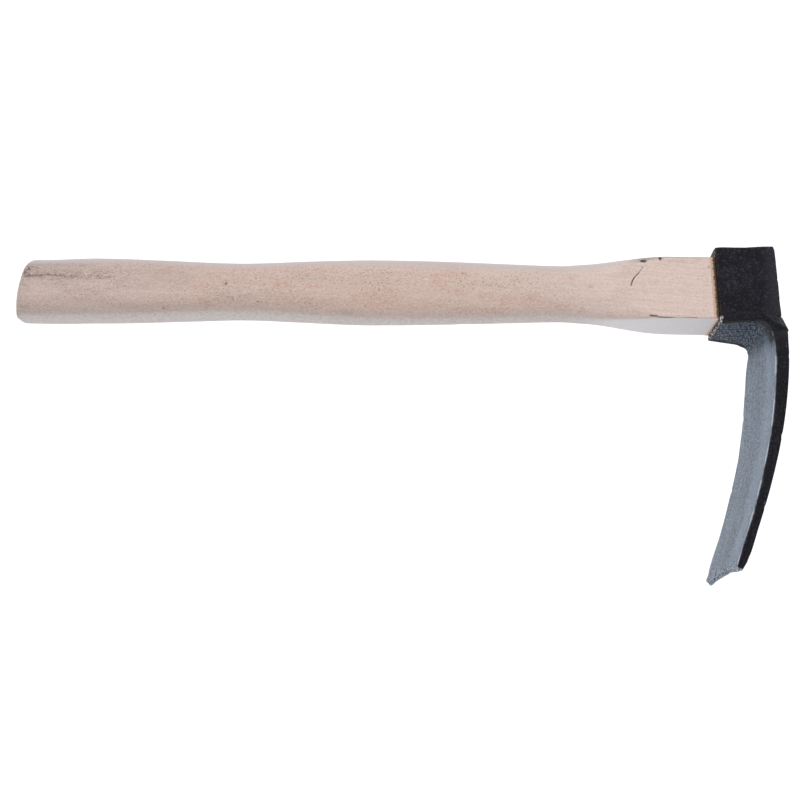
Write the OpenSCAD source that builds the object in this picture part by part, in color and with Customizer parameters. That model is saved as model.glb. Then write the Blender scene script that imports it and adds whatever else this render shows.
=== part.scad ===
// Hand adze: a beech haft wedged through a rectangular eye, and a long
// parallel-sided blade that is bent down from the eye and curved back towards
// the haft. +X runs along the haft from the butt to the head, +Z points from
// the blade side to the crown of the eye, and the origin is the centre of the
// flat crown face, on the plane of symmetry. Millimetres.

/* [Haft] */
// Length of the haft from the butt to the eye
haft_len = 365; // [300:0.5:420]
// Height of the haft at the grip
grip_h = 34.1; // [33:0.1:38]
// Height at the waist in front of the grip
waist_h = 29; // [28:0.1:32]
// Height at the second swell
swell_h = 34.4; // [33:0.1:37.5]
// Height at the neck, behind the head
neck_h = 29.4; // [28:0.1:32]
// Thickness of the haft at the grip
grip_t = 27.3; // [25.5:0.1:30]
// Thickness of the haft at the neck
neck_t = 24.3; // [22.5:0.1:25.4]
// How far the butt is drawn in at its upper edge
butt_slant = 3.5; // [1:0.5:6]
// Radius on the edge of the butt
butt_edge = 3.5; // [1:0.5:5]
// How far the front of the haft is set back in the eye
front_setback = 1.6; // [1.3:0.1:3]

/* [Eye] */
// Length of the eye along the haft
eye_len = 29.4; // [26:0.2:36]
// Outside width of the eye
eye_w = 26; // [24:0.2:30]
// Outside height of the eye, with the plate that closes it
eye_h = 41; // [39:0.2:44]
// Thickness of the two cheeks
cheek_t = 2.8; // [2.4:0.1:4]
// Thickness of the crown
crown_t = 5; // [3.6:0.1:5.8]
// Lean of the front face over the height of the eye
eye_lean = 1.2; // [0:0.1:2]
// Rounding of the two upper outside edges
crown_r = 1.6; // [0.8:0.1:2.4]

/* [Blade] */
// Width of the blade at the cutting edge
blade_w = 56.4; // [50:0.2:64]
// Share by which the blade is narrower at its root
root_taper = 0.035; // [0:0.005:0.08]
// Thickness of the leg that closes the eye
leg_t = 3.7; // [3:0.1:5]
// Drop of the cutting edge below the leg
blade_drop = 121; // [100:0.5:126]
// Radius of the outer face of the blade
outer_r = 335; // [328:0.5:350]
// Radius of the inner face of the blade
inner_r = 312.5; // [300:0.5:318]
// Radius of the inner bend between leg and blade
bend_r = 6.5; // [5:0.1:8]
// Width of the blunt land left at the cutting edge
land_w = 1.8; // [1.2:0.1:2.4]
// Length of the bevel on the outer face
bevel_l = 8; // [5:0.5:12]

/* [Wedges] */
// Depth of the wooden wedge in the haft
wood_wedge_l = 24; // [18:0.5:26]
// Thickness of the wooden wedge at the front
wood_wedge_t = 3.2; // [2:0.1:4.5]
// Width of each steel wedge
steel_wedge_w = 16; // [12:0.5:17]
// Depth of each steel wedge
steel_wedge_l = 17; // [12:0.5:17]
// Thickness of each steel wedge at the front
steel_wedge_t = 2.4; // [1.6:0.1:3]
// Distance between the middles of the two steel wedges
steel_wedge_gap = 14; // [10:0.5:18]
// Radius of the weld beads
weld_r = 2.4; // [1.5:0.1:2.6]

/* [Hidden] */

$fn = 96;
blade_fn = 360;  // segments of the two large blade arcs
gap = 0.02;      // clearance between fitted pieces
eps = 0.5;       // how far cutting shapes pass a face

// Eye: back and front faces at the level of the leg, and the back face's lean.
eye_back = -eye_len / 2 + 0.15;
eye_front = eye_len / 2 + 0.45;
back_lean = 0.6 * eye_lean;
// Leg: upper and lower face.
leg_top = -eye_h + leg_t;
leg_low = -eye_h;
// Opening of the eye.
open_w = eye_w - 2 * cheek_t;
open_h = -crown_t - leg_top;
open_mid = (-crown_t + leg_top) / 2;
// The haft's axis lies just under the middle of the eye's height.
axis_z = -eye_h / 2 - 0.8;
tenon_front = eye_front - front_setback;

// ---------- helpers ----------

function mix(from, to, share) = from + (to - from) * share;
function ease(t) = t <= 0 ? 0 : t >= 1 ? 1 : t * t * (3 - 2 * t);

// Index of the table row that starts the span holding x.
function span(table, x, i = 0) =
  (i >= len(table) - 2 || x <= table[i + 1][0]) ? i : span(table, x, i + 1);
// Slope of a column at row i, level at the ends and at every high or low point.
function slope(table, i, column) =
  i <= 0 || i >= len(table) - 1 ? 0
  : let (before = table[i - 1], here = table[i], after = table[i + 1])
    (after[column] - here[column]) * (here[column] - before[column]) <= 0 ? 0
    : (after[column] - before[column]) / (after[0] - before[0]);
// Value of a column at x, by cubic Hermite spans.
function curve(table, x, column) =
  let (
    i = span(table, x),
    step = table[i + 1][0] - table[i][0],
    t = (x - table[i][0]) / step,
    start = table[i][column],
    end = table[i + 1][column],
    start_rise = slope(table, i, column) * step,
    end_rise = slope(table, i + 1, column) * step
  )
  (2*t*t*t - 3*t*t + 1) * start + (t*t*t - 2*t*t + t) * start_rise
    + (-2*t*t*t + 3*t*t) * end + (t*t*t - t*t) * end_rise;

// Half an outline followed by its mirror image, in reverse order.
function both_sides(half, flip) = concat(half,
  [for (i = [len(half) - 1:-1:0]) [half[i].x * flip.x, half[i].y * flip.y]]);

// A bar along X whose section is drawn in Y (to the left) and Z (up).
module along_x(x0, x1) {
  translate([x0, 0, 0]) rotate([90, 0, 90]) linear_extrude(height = x1 - x0) children();
}
// A slab across Y whose outline is drawn in X and Z.
module across_y(width) {
  translate([0, width / 2, 0]) rotate([90, 0, 0]) linear_extrude(height = width) children();
}
// A cylinder across Y, with its centre given in X and Z.
module disc_across_y(centre, radius, width) {
  translate([centre.x, 0, centre.y]) rotate([90, 0, 0])
    cylinder(r = radius, h = width, center = true);
}
// A box between two X and two Z values, wider than the blade.
module wide_box(x0, x1, z0, z1) {
  translate([x0, -blade_w, z0]) cube([x1 - x0, 2 * blade_w, z1 - z0]);
}

// ---------- haft ----------

shoulder_h = open_h + 1.4;
shoulder_t = eye_w - 1.5;
shoulder_edge = 0.6;  // inset of the section at the shoulder face
square_corner = 1.2;  // corner size of the section at the shoulder
tenon_edge = 0.7;     // chamfer on the front of the tenon
tenon_corner = 0.6;   // corner size of the tenon's section
// At the head and at the grip the section sits a little below the axis.
head_sag = -0.65;
grip_sag = -0.1;
butt_peak_z = -4;     // height of the butt's fullest point, from the axis

// The two swells and the two narrow places lie at fixed shares of the length.
function station(share, height, thickness) = [share * haft_len, height, thickness];
function body_t(share) = mix(neck_t, grip_t, share);
// Distance behind the eye, height, thickness.
stations = [
  station(0.000, shoulder_h, shoulder_t),
  station(0.090, shoulder_h, shoulder_t),
  station(0.131, mix(neck_h, shoulder_h, 0.83), mix(neck_t, shoulder_t, 0.6)),
  station(0.175, mix(neck_h, shoulder_h, 0.39), neck_t),
  station(0.208, neck_h, neck_t),
  station(0.279, mix(neck_h, swell_h, 0.30), body_t(0.20)),
  station(0.351, mix(neck_h, swell_h, 0.69), body_t(0.45)),
  station(0.425, mix(neck_h, swell_h, 0.94), body_t(0.62)),
  station(0.475, swell_h, body_t(0.68)),
  station(0.534, mix(waist_h, swell_h, 0.77), body_t(0.64)),
  station(0.589, mix(waist_h, swell_h, 0.43), body_t(0.54)),
  station(0.636, mix(waist_h, swell_h, 0.10), body_t(0.46)),
  station(0.670, waist_h, body_t(0.44)),
  station(0.718, mix(waist_h, grip_h, 0.19), body_t(0.54)),
  station(0.797, mix(waist_h, grip_h, 0.66), body_t(0.78)),
  station(0.840, mix(waist_h, grip_h, 0.90), body_t(0.92)),
  station(0.890, grip_h, grip_t),
  station(1.000, grip_h - 0.6, grip_t - 0.3)
];

// In the functions below, dist is the distance behind the eye.
// How round the section is: 0 is the square-edged end at the eye, 1 the oval.
function roundness(dist) = ease((dist - 0.06 * haft_len) / (0.115 * haft_len));
// The oval gets squarer towards the grip.
function flatness(dist) = ease((dist - 0.25 * haft_len) / (0.5 * haft_len));
// Corner size for a half height or half thickness; the two shares of it are
// those of the oval near the neck and at the grip.
function corner(dist, half, neck_share, grip_share) =
  mix(square_corner, half * mix(neck_share, grip_share, flatness(dist)), roundness(dist));
function sag(dist) =
  head_sag * (1 - ease(dist / 64)) + grip_sag * ease((dist - 100) / 140);

corner_n = 9;  // points on each corner of a section
ring_n = 4 * corner_n;
// Section as [y, z] points: a rectangle with elliptical corners.
function rounded_section(height, thickness, corner_y, corner_z) = [
  for (j = [0:ring_n - 1])
    let (
      quarter = floor(j / corner_n),
      angle = 90 * quarter + 90 * (j % corner_n) / (corner_n - 1),
      side_y = (quarter == 0 || quarter == 3) ? 1 : -1,
      side_z = (quarter < 2) ? 1 : -1
    )
    [side_y * (thickness / 2 - corner_y) + corner_y * cos(angle),
     side_z * (height / 2 - corner_z) + corner_z * sin(angle)]
];
function raised(section, rise) = [for (p = section) [p.x, p.y + rise]];
function body_section(dist, inset) =
  let (height = curve(stations, dist, 1), thickness = curve(stations, dist, 2))
  rounded_section(height - 2 * inset, thickness - 2 * inset,
    corner(dist, thickness / 2, 0.96, 0.84) - inset,
    corner(dist, height / 2, 0.94, 0.60) - inset);
function tenon_section(inset) = raised(
  rounded_section(open_h - 2 * inset, open_w - 2 * inset, tenon_corner, tenon_corner),
  open_mid - axis_z);

// The butt face: a shallow dome, fullest a little below the axis.
function butt_x(y, z) =
  let (rise = z - butt_peak_z)
  -haft_len + 2 * pow(y / 12, 2)
    + (rise > 0 ? butt_slant * pow(rise / 21, 2) : 0.5 * pow(rise / 13, 2));
// The shoulder follows the lean of the eye's back face.
function shoulder_x(z) = -gap - max(0, back_lean * (z + axis_z - leg_top) / -leg_top);

// Rings are lists of points about the haft's axis, with X from the eye's back.
function flat_ring(x, section) = [for (p = section) [x, p.x, p.y]];
function shoulder_ring(section) = [for (p = section) [shoulder_x(p.y), p.x, p.y]];
// The shoulder's lean fades out over the first 20 mm of the body.
function body_ring(dist) = [
  for (p = raised(body_section(dist, 0), sag(dist)))
    [-dist + shoulder_x(p.y) * max(0, 1 - dist / 20), p.x, p.y]
];
function butt_ring(inset, forward, size = 1) = [
  for (p = body_section(haft_len - 4, inset) * size)
    [butt_x(p.x, p.y) + forward, p.x, p.y + grip_sag]
];

body_steps = 52;
edge_steps = 5;
tenon_l = tenon_front - eye_back;
// From the front of the tenon back to near the centre of the butt.
rings = concat(
  [
    flat_ring(tenon_l, tenon_section(tenon_edge)),
    flat_ring(tenon_l - tenon_edge, tenon_section(gap)),
    shoulder_ring(tenon_section(gap)),
    shoulder_ring(raised(body_section(0, shoulder_edge), head_sag))
  ],
  [for (i = [0:body_steps]) body_ring(mix(shoulder_edge, haft_len - 11, i / body_steps))],
  [for (i = [0:edge_steps])
    let (angle = 90 * i / edge_steps)
    butt_ring(butt_edge * (1 - cos(angle)), butt_edge * (1 - sin(angle)))],
  [for (size = [0.66, 0.33]) butt_ring(butt_edge, 0, size)]
);

// Index of point j of ring i.
function vertex(i, j) = i * ring_n + j % ring_n;

module haft_blank() {
  last_ring = len(rings) - 1;
  butt_centre = len(rings) * ring_n;
  points = concat(
    [for (ring = rings) for (p = ring) p + [eye_back, 0, axis_z]],
    [[butt_x(0, 0) + eye_back, 0, axis_z + grip_sag]]);
  faces = concat(
    [[for (j = [ring_n - 1:-1:0]) j]],
    [for (i = [0:last_ring - 1]) for (j = [0:ring_n - 1])
      [vertex(i, j + 1), vertex(i + 1, j + 1), vertex(i, j)]],
    [for (i = [0:last_ring - 1]) for (j = [0:ring_n - 1])
      [vertex(i + 1, j + 1), vertex(i + 1, j), vertex(i, j)]],
    [for (j = [0:ring_n - 1])
      [vertex(last_ring, j + 1), butt_centre, vertex(last_ring, j)]]);
  polyhedron(points = points, faces = faces, convexity = 6);
}

module haft() {
  slot_l = 8;
  slot_w = 1;
  slot_inset = 2.4;  // from the back of the eye
  color("burlywood") difference() {
    haft_blank();
    wood_wedge_body(gap);
    // Narrow slot around the nose of the wooden wedge.
    translate([eye_back + slot_inset, -slot_w / 2, leg_top - eps])
      cube([slot_l, slot_w, open_h + 2 * eps]);
    steel_wedge_bodies(gap);
  }
}

// ---------- wedges ----------

wood_nose_t = 0.9;
wood_wedge_inset = 0.6;  // from the top and bottom of the eye's opening
steel_nose_t = 0.5;
steel_proud = 0.4;       // how far the steel wedges stand out of the haft

// Outline of a wedge, grown by the given amount on all sides. The nose points
// to -X.
module wedge_outline(front, depth, front_t, nose_t, grow) {
  half_front = front_t / 2 + grow;
  half_nose = nose_t / 2 + grow;
  front_x = front + grow;
  nose_x = front - depth - grow;
  polygon([[front_x, -half_front], [front_x, half_front],
    [nose_x, half_nose], [nose_x, -half_nose]]);
}
module wood_wedge_body(grow) {
  translate([0, 0, leg_top + wood_wedge_inset - grow])
    linear_extrude(height = open_h - 2 * wood_wedge_inset + 2 * grow)
      wedge_outline(tenon_front, wood_wedge_l, wood_wedge_t, wood_nose_t, grow);
}
module steel_wedge_bodies(grow) {
  for (side = [-1, 1])
    translate([0, 0, open_mid + side * steel_wedge_gap / 2])
      across_y(steel_wedge_w + 2 * grow)
        wedge_outline(tenon_front + steel_proud, steel_wedge_l, steel_wedge_t,
          steel_nose_t, grow);
}
module wood_wedge() {
  color("tan") difference() {
    wood_wedge_body(0);
    steel_wedge_bodies(gap);
  }
}
module steel_wedges() {
  color("dimgray") steel_wedge_bodies(0);
}

// ---------- eye ----------

// Outside of the strap, with its two upper edges rounded.
module strap_outside() {
  translate([-eye_w / 2, leg_top]) square([eye_w, -leg_top - crown_r]);
  translate([-eye_w / 2 + crown_r, leg_top]) square([eye_w - 2 * crown_r, -leg_top]);
  for (side = [-1, 1])
    translate([side * (eye_w / 2 - crown_r), -crown_r]) circle(r = crown_r);
}
module eye_strap() {
  color([0.12, 0.12, 0.14]) intersection() {
    along_x(-eye_len, eye_len) difference() {
      strap_outside();
      translate([-open_w / 2, leg_top - eps]) square([open_w, open_h + eps]);
    }
    // The two end faces lean back towards the crown.
    across_y(eye_w + 2) polygon([
      [eye_back, leg_top], [eye_front, leg_top],
      [eye_front - eye_lean, 0], [eye_back - back_lean, 0]
    ]);
  }
}

// ---------- blade ----------

// Centres, in X and Z, of the two arcs that bound the blade.
outer_centre = [eye_front - 0.8 - outer_r, leg_top + 12.7];
inner_centre = [eye_front - 7.8 - inner_r, leg_top + 0.1];
// X of the front of an arc at height z.
function arc_x(centre, radius, z) =
  centre.x + sqrt(pow(radius, 2) - pow(z - centre.y, 2));
// Angle below the horizontal of a point seen from the inner arc's centre.
function inner_angle(x, z) = atan2(inner_centre.y - z, x - inner_centre.x);
// Centre of the inner bend, tangent to the leg and to the inner face.
bend_z = leg_low - bend_r;
bend_x = arc_x(inner_centre, inner_r - bend_r, bend_z);
bend_end_z = bend_z - bend_r * sin(inner_angle(bend_x, bend_z));
// Cutting edge.
tip_z = leg_low - blade_drop;
tip_x = arc_x(inner_centre, inner_r, tip_z);

// The outer corner's straight face ends at corner_z, then merges into the arc.
corner_z = leg_top - 8.8;
merge_n = 6;
merge_step = 2;
merge_z = corner_z - merge_n * merge_step;

bevel_top_t = 4;  // from the inner face to the bevel, bevel_l above the edge

// Half width of the leg where it meets the blade.
neck_half = blade_w / 2 * 0.695;
flare_l = 18;  // distance over which the leg widens from the back of the eye
// Half width of the leg at a distance in front of the back of the eye.
function leg_half(dist) = min(neck_half, eye_w / 2 + 0.1 + 0.36 * dist);
// Half width of the blade at a depth below the leg: it opens quickly below
// the bend and then very slowly down to the cutting edge.
function blade_half(depth) = blade_w / 2 * (1 - root_taper * (1 - depth / blade_drop))
  * (1 - 0.281 * exp(-max(0, depth - 6) / 8));

// Outline of the leg seen from above, in X and Y.
module leg_outline() {
  polygon(both_sides([
    [eye_back - 1, leg_half(0)],
    [eye_back, leg_half(0)],
    [eye_back + flare_l, leg_half(flare_l)],
    [eye_front + 10, neck_half]
  ], [1, -1]));
}
// Outline of the blade seen along the haft, in Y and Z.
module blade_outline() {
  depths = concat([2], [for (depth = [6:2:22]) depth],
    [for (depth = [28:10:blade_drop + 20]) depth], [blade_drop + 24]);
  polygon(both_sides([for (depth = depths) [blade_half(depth), leg_low - depth]], [-1, 1]));
}
// Side view of leg, corner and blade before the inner side is cut out. The
// outer corner is full: its face drops straight from the eye and then runs
// into the arc of the blade.
module blade_mass() {
  bulge = eye_front - arc_x(outer_centre, outer_r, corner_z);
  across_y(blade_w + 8) polygon(concat(
    [[eye_back, leg_low], [eye_back, leg_top]],
    [[eye_front - 0.1, leg_top], [eye_front, leg_top - 1.8]],
    [for (i = [0:merge_n])
      let (z = corner_z - merge_step * i)
      [arc_x(outer_centre, outer_r, z) + bulge * pow(1 - i / merge_n, 2), z]],
    [[bend_x, merge_z], [bend_x, leg_low]]));
  intersection() {
    disc_across_y(outer_centre, outer_r, blade_w + 8, $fn = blade_fn);
    wide_box(tip_x - 12, eye_front + 18, tip_z - 6, merge_z + 0.1);
  }
}
module blade_inside() {
  // Inner face of the blade, below the bend.
  intersection() {
    disc_across_y(inner_centre, inner_r, blade_w + 12, $fn = blade_fn);
    wide_box(tip_x - 40, eye_front + 40, tip_z - 20, bend_end_z);
  }
  // Inner bend.
  disc_across_y([bend_x, bend_z], bend_r, blade_w + 12);
  // Room under the leg.
  wide_box(tip_x - 40, bend_x, bend_z - bend_r, bend_z + bend_r);
}
// Frame at the cutting edge: X out of the inner face, Z up along the blade.
module at_tip() {
  translate([tip_x, 0, tip_z]) rotate([0, inner_angle(tip_x, tip_z), 0]) children();
}
// The end of the blade is cut square to its inner face.
module tip_cut() {
  at_tip() wide_box(-20, 40, -30, 0);
}
// The bevel falls on the outer face, down to the blunt land.
module bevel_cut() {
  at_tip() translate([land_w, 0, 0]) rotate([0, atan2(bevel_top_t - land_w, bevel_l), 0])
    wide_box(0, 20, -5, bevel_l + 7);
}
// Cuts the left outer corner of the bend in to the width of the eye, along
// the plane through three points.
module corner_cut() {
  eye_point = [eye_front, eye_w / 2, leg_top - 1.5];
  blade_point = [eye_front, neck_half - 0.4, corner_z];
  leg_point = [bend_x + 3.8, neck_half + 0.8, leg_top - 2.9];
  across = cross(blade_point - eye_point, leg_point - eye_point);
  normal = across / norm(across);
  intersection() {
    translate(eye_point) rotate([0, acos(normal.z), atan2(normal.y, normal.x)])
      translate([-60, -60, 0]) cube([120, 120, 60]);
    translate([bend_x - 3, 0, corner_z - 0.4]) cube([60, blade_w, 30]);
  }
}
module blade_plate() {
  color([0.45, 0.49, 0.54]) difference() {
    intersection() {
      difference() {
        blade_mass();
        blade_inside();
      }
      union() {
        translate([0, 0, leg_low - 2]) linear_extrude(height = leg_t + 3) leg_outline();
        along_x(-200, 200) blade_outline();
      }
    }
    tip_cut();
    bevel_cut();
    corner_cut();
    mirror([0, 1, 0]) corner_cut();
  }
}

// ---------- welds ----------

weld_inset = 7;           // from the back of the eye
weld_l = eye_len - 13.4;

// A quarter-round bead in the corner between the left cheek and the leg.
module weld_bead() {
  y = eye_w / 2 + gap;
  z = leg_top + gap;
  intersection() {
    translate([eye_back + weld_inset, y, z]) rotate([0, 90, 0])
      cylinder(r = weld_r, h = weld_l);
    translate([eye_back, y, z]) cube([eye_len, weld_r + 1, weld_r + 1]);
  }
}
module weld_bead_left() {
  color([0.14, 0.14, 0.15]) weld_bead();
}
module weld_bead_right() {
  color([0.14, 0.14, 0.15]) mirror([0, 1, 0]) weld_bead();
}

haft();
eye_strap();
blade_plate();
weld_bead_left();
weld_bead_right();
wood_wedge();
steel_wedges();
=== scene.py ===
# Hand adze: beech haft, welded steel eye and long curved blade.
# Lengths are millimetres in the part's own frame; meshes are scaled to metres. The origin is
# on the crown of the eye, near its middle. The haft runs along -X and the blade hangs down -Z
# from the front (+X) of the eye, its width along Y. The camera is on the -Y side.
import math

import bpy
import numpy as np
from mathutils import Matrix, Vector


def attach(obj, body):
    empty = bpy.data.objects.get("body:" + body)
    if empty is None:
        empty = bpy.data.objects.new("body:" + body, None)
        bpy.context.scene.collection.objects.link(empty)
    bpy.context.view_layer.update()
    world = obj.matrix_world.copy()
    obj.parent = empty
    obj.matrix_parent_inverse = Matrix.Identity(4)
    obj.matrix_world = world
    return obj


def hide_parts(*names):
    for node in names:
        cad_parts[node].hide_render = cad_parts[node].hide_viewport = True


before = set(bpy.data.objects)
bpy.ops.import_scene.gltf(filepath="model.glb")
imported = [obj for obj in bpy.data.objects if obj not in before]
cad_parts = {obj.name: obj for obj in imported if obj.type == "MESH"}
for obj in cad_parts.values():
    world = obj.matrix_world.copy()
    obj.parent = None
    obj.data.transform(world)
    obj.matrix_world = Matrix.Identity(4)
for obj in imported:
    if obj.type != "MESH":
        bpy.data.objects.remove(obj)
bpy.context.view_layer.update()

MM = 0.001


# ------------------------------------------------------------------ driving dimensions

# Haft: heights are along Z, thicknesses along Y, sags lower it along Z.
HAFT_LENGTH = 365.0
GRIP_HEIGHT, WAIST_HEIGHT, SWELL_HEIGHT, NECK_HEIGHT = 34.1, 29.0, 34.4, 29.4
GRIP_THICK, NECK_THICK = 27.3, 24.3
BUTT_SLANT, BUTT_EDGE = 3.5, 3.5
HEAD_SAG, GRIP_SAG = -0.65, -0.1
FRONT_SETBACK, GAP = 1.6, 0.02

# Eye: a strap bent over the tenon, open below.
EYE_LENGTH, EYE_WIDTH, EYE_HEIGHT = 29.4, 26.0, 41.0
CHEEK_THICK, CROWN_THICK, CROWN_RADIUS = 2.8, 5.0, 1.6
EYE_LEAN = 1.2

# Blade: a flat leg under the eye, a bend and a curved plate with a bevelled edge.
BLADE_WIDTH, ROOT_TAPER, LEG_THICK, BLADE_DROP = 56.4, 0.035, 3.7, 121.0
OUTER_RADIUS, INNER_RADIUS, BEND_RADIUS = 335.0, 312.5, 6.5
LAND_WIDTH, BEVEL_LENGTH = 1.8, 8.0

# Places that follow from them.
AXIS_Z = -EYE_HEIGHT / 2 - 0.8
EYE_REAR_X, EYE_FRONT_X = -EYE_LENGTH / 2 + 0.15, EYE_LENGTH / 2 + 0.45
LEG_TOP, LEG_LOW = -EYE_HEIGHT + LEG_THICK, -EYE_HEIGHT
OPEN_WIDTH, OPEN_TOP = EYE_WIDTH - 2 * CHEEK_THICK, -CROWN_THICK
OPEN_HEIGHT, OPEN_MID = OPEN_TOP - LEG_TOP, (OPEN_TOP + LEG_TOP) / 2
TENON_FRONT = EYE_FRONT_X - FRONT_SETBACK
OUTER_CENTRE = (EYE_FRONT_X - 0.8 - OUTER_RADIUS, LEG_TOP + 12.7)
INNER_CENTRE = (EYE_FRONT_X - 7.8 - INNER_RADIUS, LEG_TOP + 0.1)
BEND_Z = LEG_LOW - BEND_RADIUS
BEND_X = INNER_CENTRE[0] + math.sqrt(
    (INNER_RADIUS - BEND_RADIUS) ** 2 - (BEND_Z - INNER_CENTRE[1]) ** 2)
BEND_ANGLE = math.atan2(INNER_CENTRE[1] - BEND_Z, BEND_X - INNER_CENTRE[0])
TIP_Z = LEG_LOW - BLADE_DROP
TIP_X = INNER_CENTRE[0] + math.sqrt(INNER_RADIUS ** 2 - (TIP_Z - INNER_CENTRE[1]) ** 2)
TIP_ANGLE = math.atan2(INNER_CENTRE[1] - TIP_Z, TIP_X - INNER_CENTRE[0])
NECK_HALF = BLADE_WIDTH / 2 * 0.695

# Wedges in the front of the tenon: one of wood, upright, and two of steel, level.
WOOD_WEDGE_LENGTH, STEEL_WEDGE_LENGTH = 24.0, 17.0
WOOD_WEDGE_LOW = LEG_TOP + 0.6
WOOD_WEDGE_TOP = LEG_TOP + 0.6 + OPEN_HEIGHT - 1.2
STEEL_WEDGE_FRONT = TENON_FRONT + 0.4
STEEL_WEDGE_Z = (OPEN_MID - 7, OPEN_MID + 7)
SLOT_PLAY = 0.03

# Camera: centre of projection and its three axes.
CAMERA_AT = np.array([-128.26, -436.07, -207.00])
CAMERA_RIGHT = np.array([0.99541, 0.08496, 0.04397])
CAMERA_UP = np.array([-0.01836, -0.28143, 0.95941])
CAMERA_AHEAD = np.array([-0.09389, 0.95582, 0.27858])


# ------------------------------------------------------------------ noise and curves

def lattice(ix, iy, iz, seed):
    """Integer hash of lattice points, 0..1."""
    h = (ix * 73856093) ^ (iy * 19349663) ^ (iz * 83492791) ^ ((seed * 2654435761) & 0x7FFFFFFF)
    h = (h ^ (h >> 13)) & 0xFFFFFFFF
    h = (h * 1274126177) & 0xFFFFFFFF
    h = (h ^ (h >> 16)) & 0xFFFFFF
    return h / float(0xFFFFFF)


def value_noise(points, seed):
    """Value noise in -1..1."""
    floor = np.floor(points)
    cell = floor.astype(np.int64)
    t = points - floor
    t = t * t * (3 - 2 * t)
    out = np.zeros(len(points))
    for corner in np.ndindex(2, 2, 2):
        weight = np.prod(np.where(corner, t, 1 - t), axis=1)
        out += weight * lattice(*(cell + corner).T, seed)
    return out * 2 - 1


def fbm(points, octaves, seed):
    """Octaves of value noise, each of half the strength of the one before."""
    total, strength, whole = np.zeros(len(points)), 1.0, 0.0
    for k in range(octaves):
        total += strength * value_noise(points * 2 ** k + 17.3 * k, seed + 101 * k)
        whole += strength
        strength *= 0.5
    return total / whole


def ease(t):
    t = np.clip(t, 0, 1)
    return t * t * (3 - 2 * t)


def mix(a, b, t):
    return a + (b - a) * t


def bump(distance):
    """Smooth hill: 1 at 0, 0 from 1 outwards on both sides."""
    return (1 - np.clip(np.abs(distance), 0, 1) ** 2) ** 2


def mark_hill(points, x, y, z, half_x, half_across):
    """Hill at (x, y, z) with half sizes along and across the haft."""
    d = points - (x, y, z)
    across = (d[:, 1] ** 2 + d[:, 2] ** 2) / half_across ** 2
    return bump(np.sqrt((d[:, 0] / half_x) ** 2 + across))


def marks(points, table, grow_x, grow_across, extra=0.0):
    """The strongest mark at each point; rows are x, y, z, two half sizes and strength."""
    out = np.zeros(len(points))
    for x, y, z, half_x, half_across, strength in table:
        sizes = half_x * grow_x + extra, half_across * grow_across + extra
        out = np.maximum(out, strength * mark_hill(points, x, y, z, *sizes))
    return out


def dents(points, table, stretch=1.0):
    """Sum of round dents; rows are the centre, then radius and depth."""
    out = np.zeros(len(points))
    for *centre, radius, depth in table:
        distance = np.linalg.norm((points - centre) * stretch, axis=1)
        out += bump(distance / radius) * depth
    return out


# ------------------------------------------------------------------ mesh helpers

def outward(verts, quads, tris=()):
    """Turns the faces outwards; gives quads, triangles and the normals of the points."""
    a, b, c, d = (verts[quads[:, k]] for k in range(4))
    volume = np.einsum("ij,ij->i", a, np.cross(b, c)) + np.einsum("ij,ij->i", a, np.cross(c, d))
    if volume.sum() < 0:
        quads = quads[:, ::-1]
        tris = [t[::-1] for t in tris]
    a, b, c, d = (verts[quads[:, k]] for k in range(4))
    face = np.cross(c - a, d - b)
    normals = np.zeros_like(verts)
    for k in range(4):
        np.add.at(normals, quads[:, k], face)
    length = np.linalg.norm(normals, axis=1)
    return quads, tris, normals / np.maximum(length, 1e-12)[:, None]


def build(name, verts, quads, material, node, attributes=None, tris=()):
    """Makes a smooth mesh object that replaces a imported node."""
    mesh = bpy.data.meshes.new(name)
    mesh.from_pydata((verts * MM).tolist(), [], quads.tolist() + list(tris))
    for key, values in (attributes or {}).items():
        layer = mesh.attributes.new(key, "FLOAT", "POINT")
        layer.data.foreach_set("value", np.asarray(values, np.float32))
    mesh.polygons.foreach_set("use_smooth", [True] * len(mesh.polygons))
    mesh.validate()
    mesh.update()
    obj = bpy.data.objects.new(name, mesh)
    bpy.context.scene.collection.objects.link(obj)
    mesh.materials.append(material)
    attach(obj, "root")
    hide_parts(node)
    return obj


def edge_nodes(length, radius, cells, steps):
    """Coordinates along one side of a box: close together near its rounded ends."""
    turn = [radius * (1 - math.tan(math.radians(45 * (1 - k / steps)))) for k in range(steps)]
    middle = list(np.linspace(radius, length - radius, cells + 1))
    return np.array(turn + middle + [length - t for t in turn][::-1])


def rounded_box(size, cells, radius, steps=4):
    """Surface lattice of a box: its points before and after rounding, and its quads."""
    xs, ys, zs = (edge_nodes(size[k], radius, cells[k], steps) for k in range(3))
    shell = np.ones((len(xs), len(ys), len(zs)), bool)
    shell[1:-1, 1:-1, 1:-1] = False
    i, j, k = np.nonzero(shell)
    index = -np.ones(shell.shape, np.int64)
    index[i, j, k] = np.arange(len(i))
    quads = []
    for grid, flip in ((index[0], True), (index[-1], False),
                       (index[:, 0], False), (index[:, -1], True),
                       (index[:, :, 0], True), (index[:, :, -1], False)):
        corners = [grid[:-1, :-1], grid[:-1, 1:], grid[1:, 1:], grid[1:, :-1]]
        side = np.stack(corners, -1).reshape(-1, 4)
        quads.append(side[:, ::-1] if flip else side)
    flat = np.stack([xs[i], ys[j], zs[k]], 1)
    core = np.clip(flat, radius, np.array(size, float) - radius)
    d = flat - core
    rounded = core + d * (radius / np.maximum(np.linalg.norm(d, axis=1), 1e-9))[:, None]
    return flat, rounded, np.concatenate(quads)


def path_length(inner, outer):
    """Length along the line midway between two matching outlines."""
    steps = np.linalg.norm(np.diff((inner + outer) / 2, axis=0), axis=1)
    return np.concatenate([[0], np.cumsum(steps)])


def trace(at, length, outline):
    """Both coordinates of an outline at the given lengths."""
    return np.interp(at, length, outline[:, 0]), np.interp(at, length, outline[:, 1])


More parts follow.
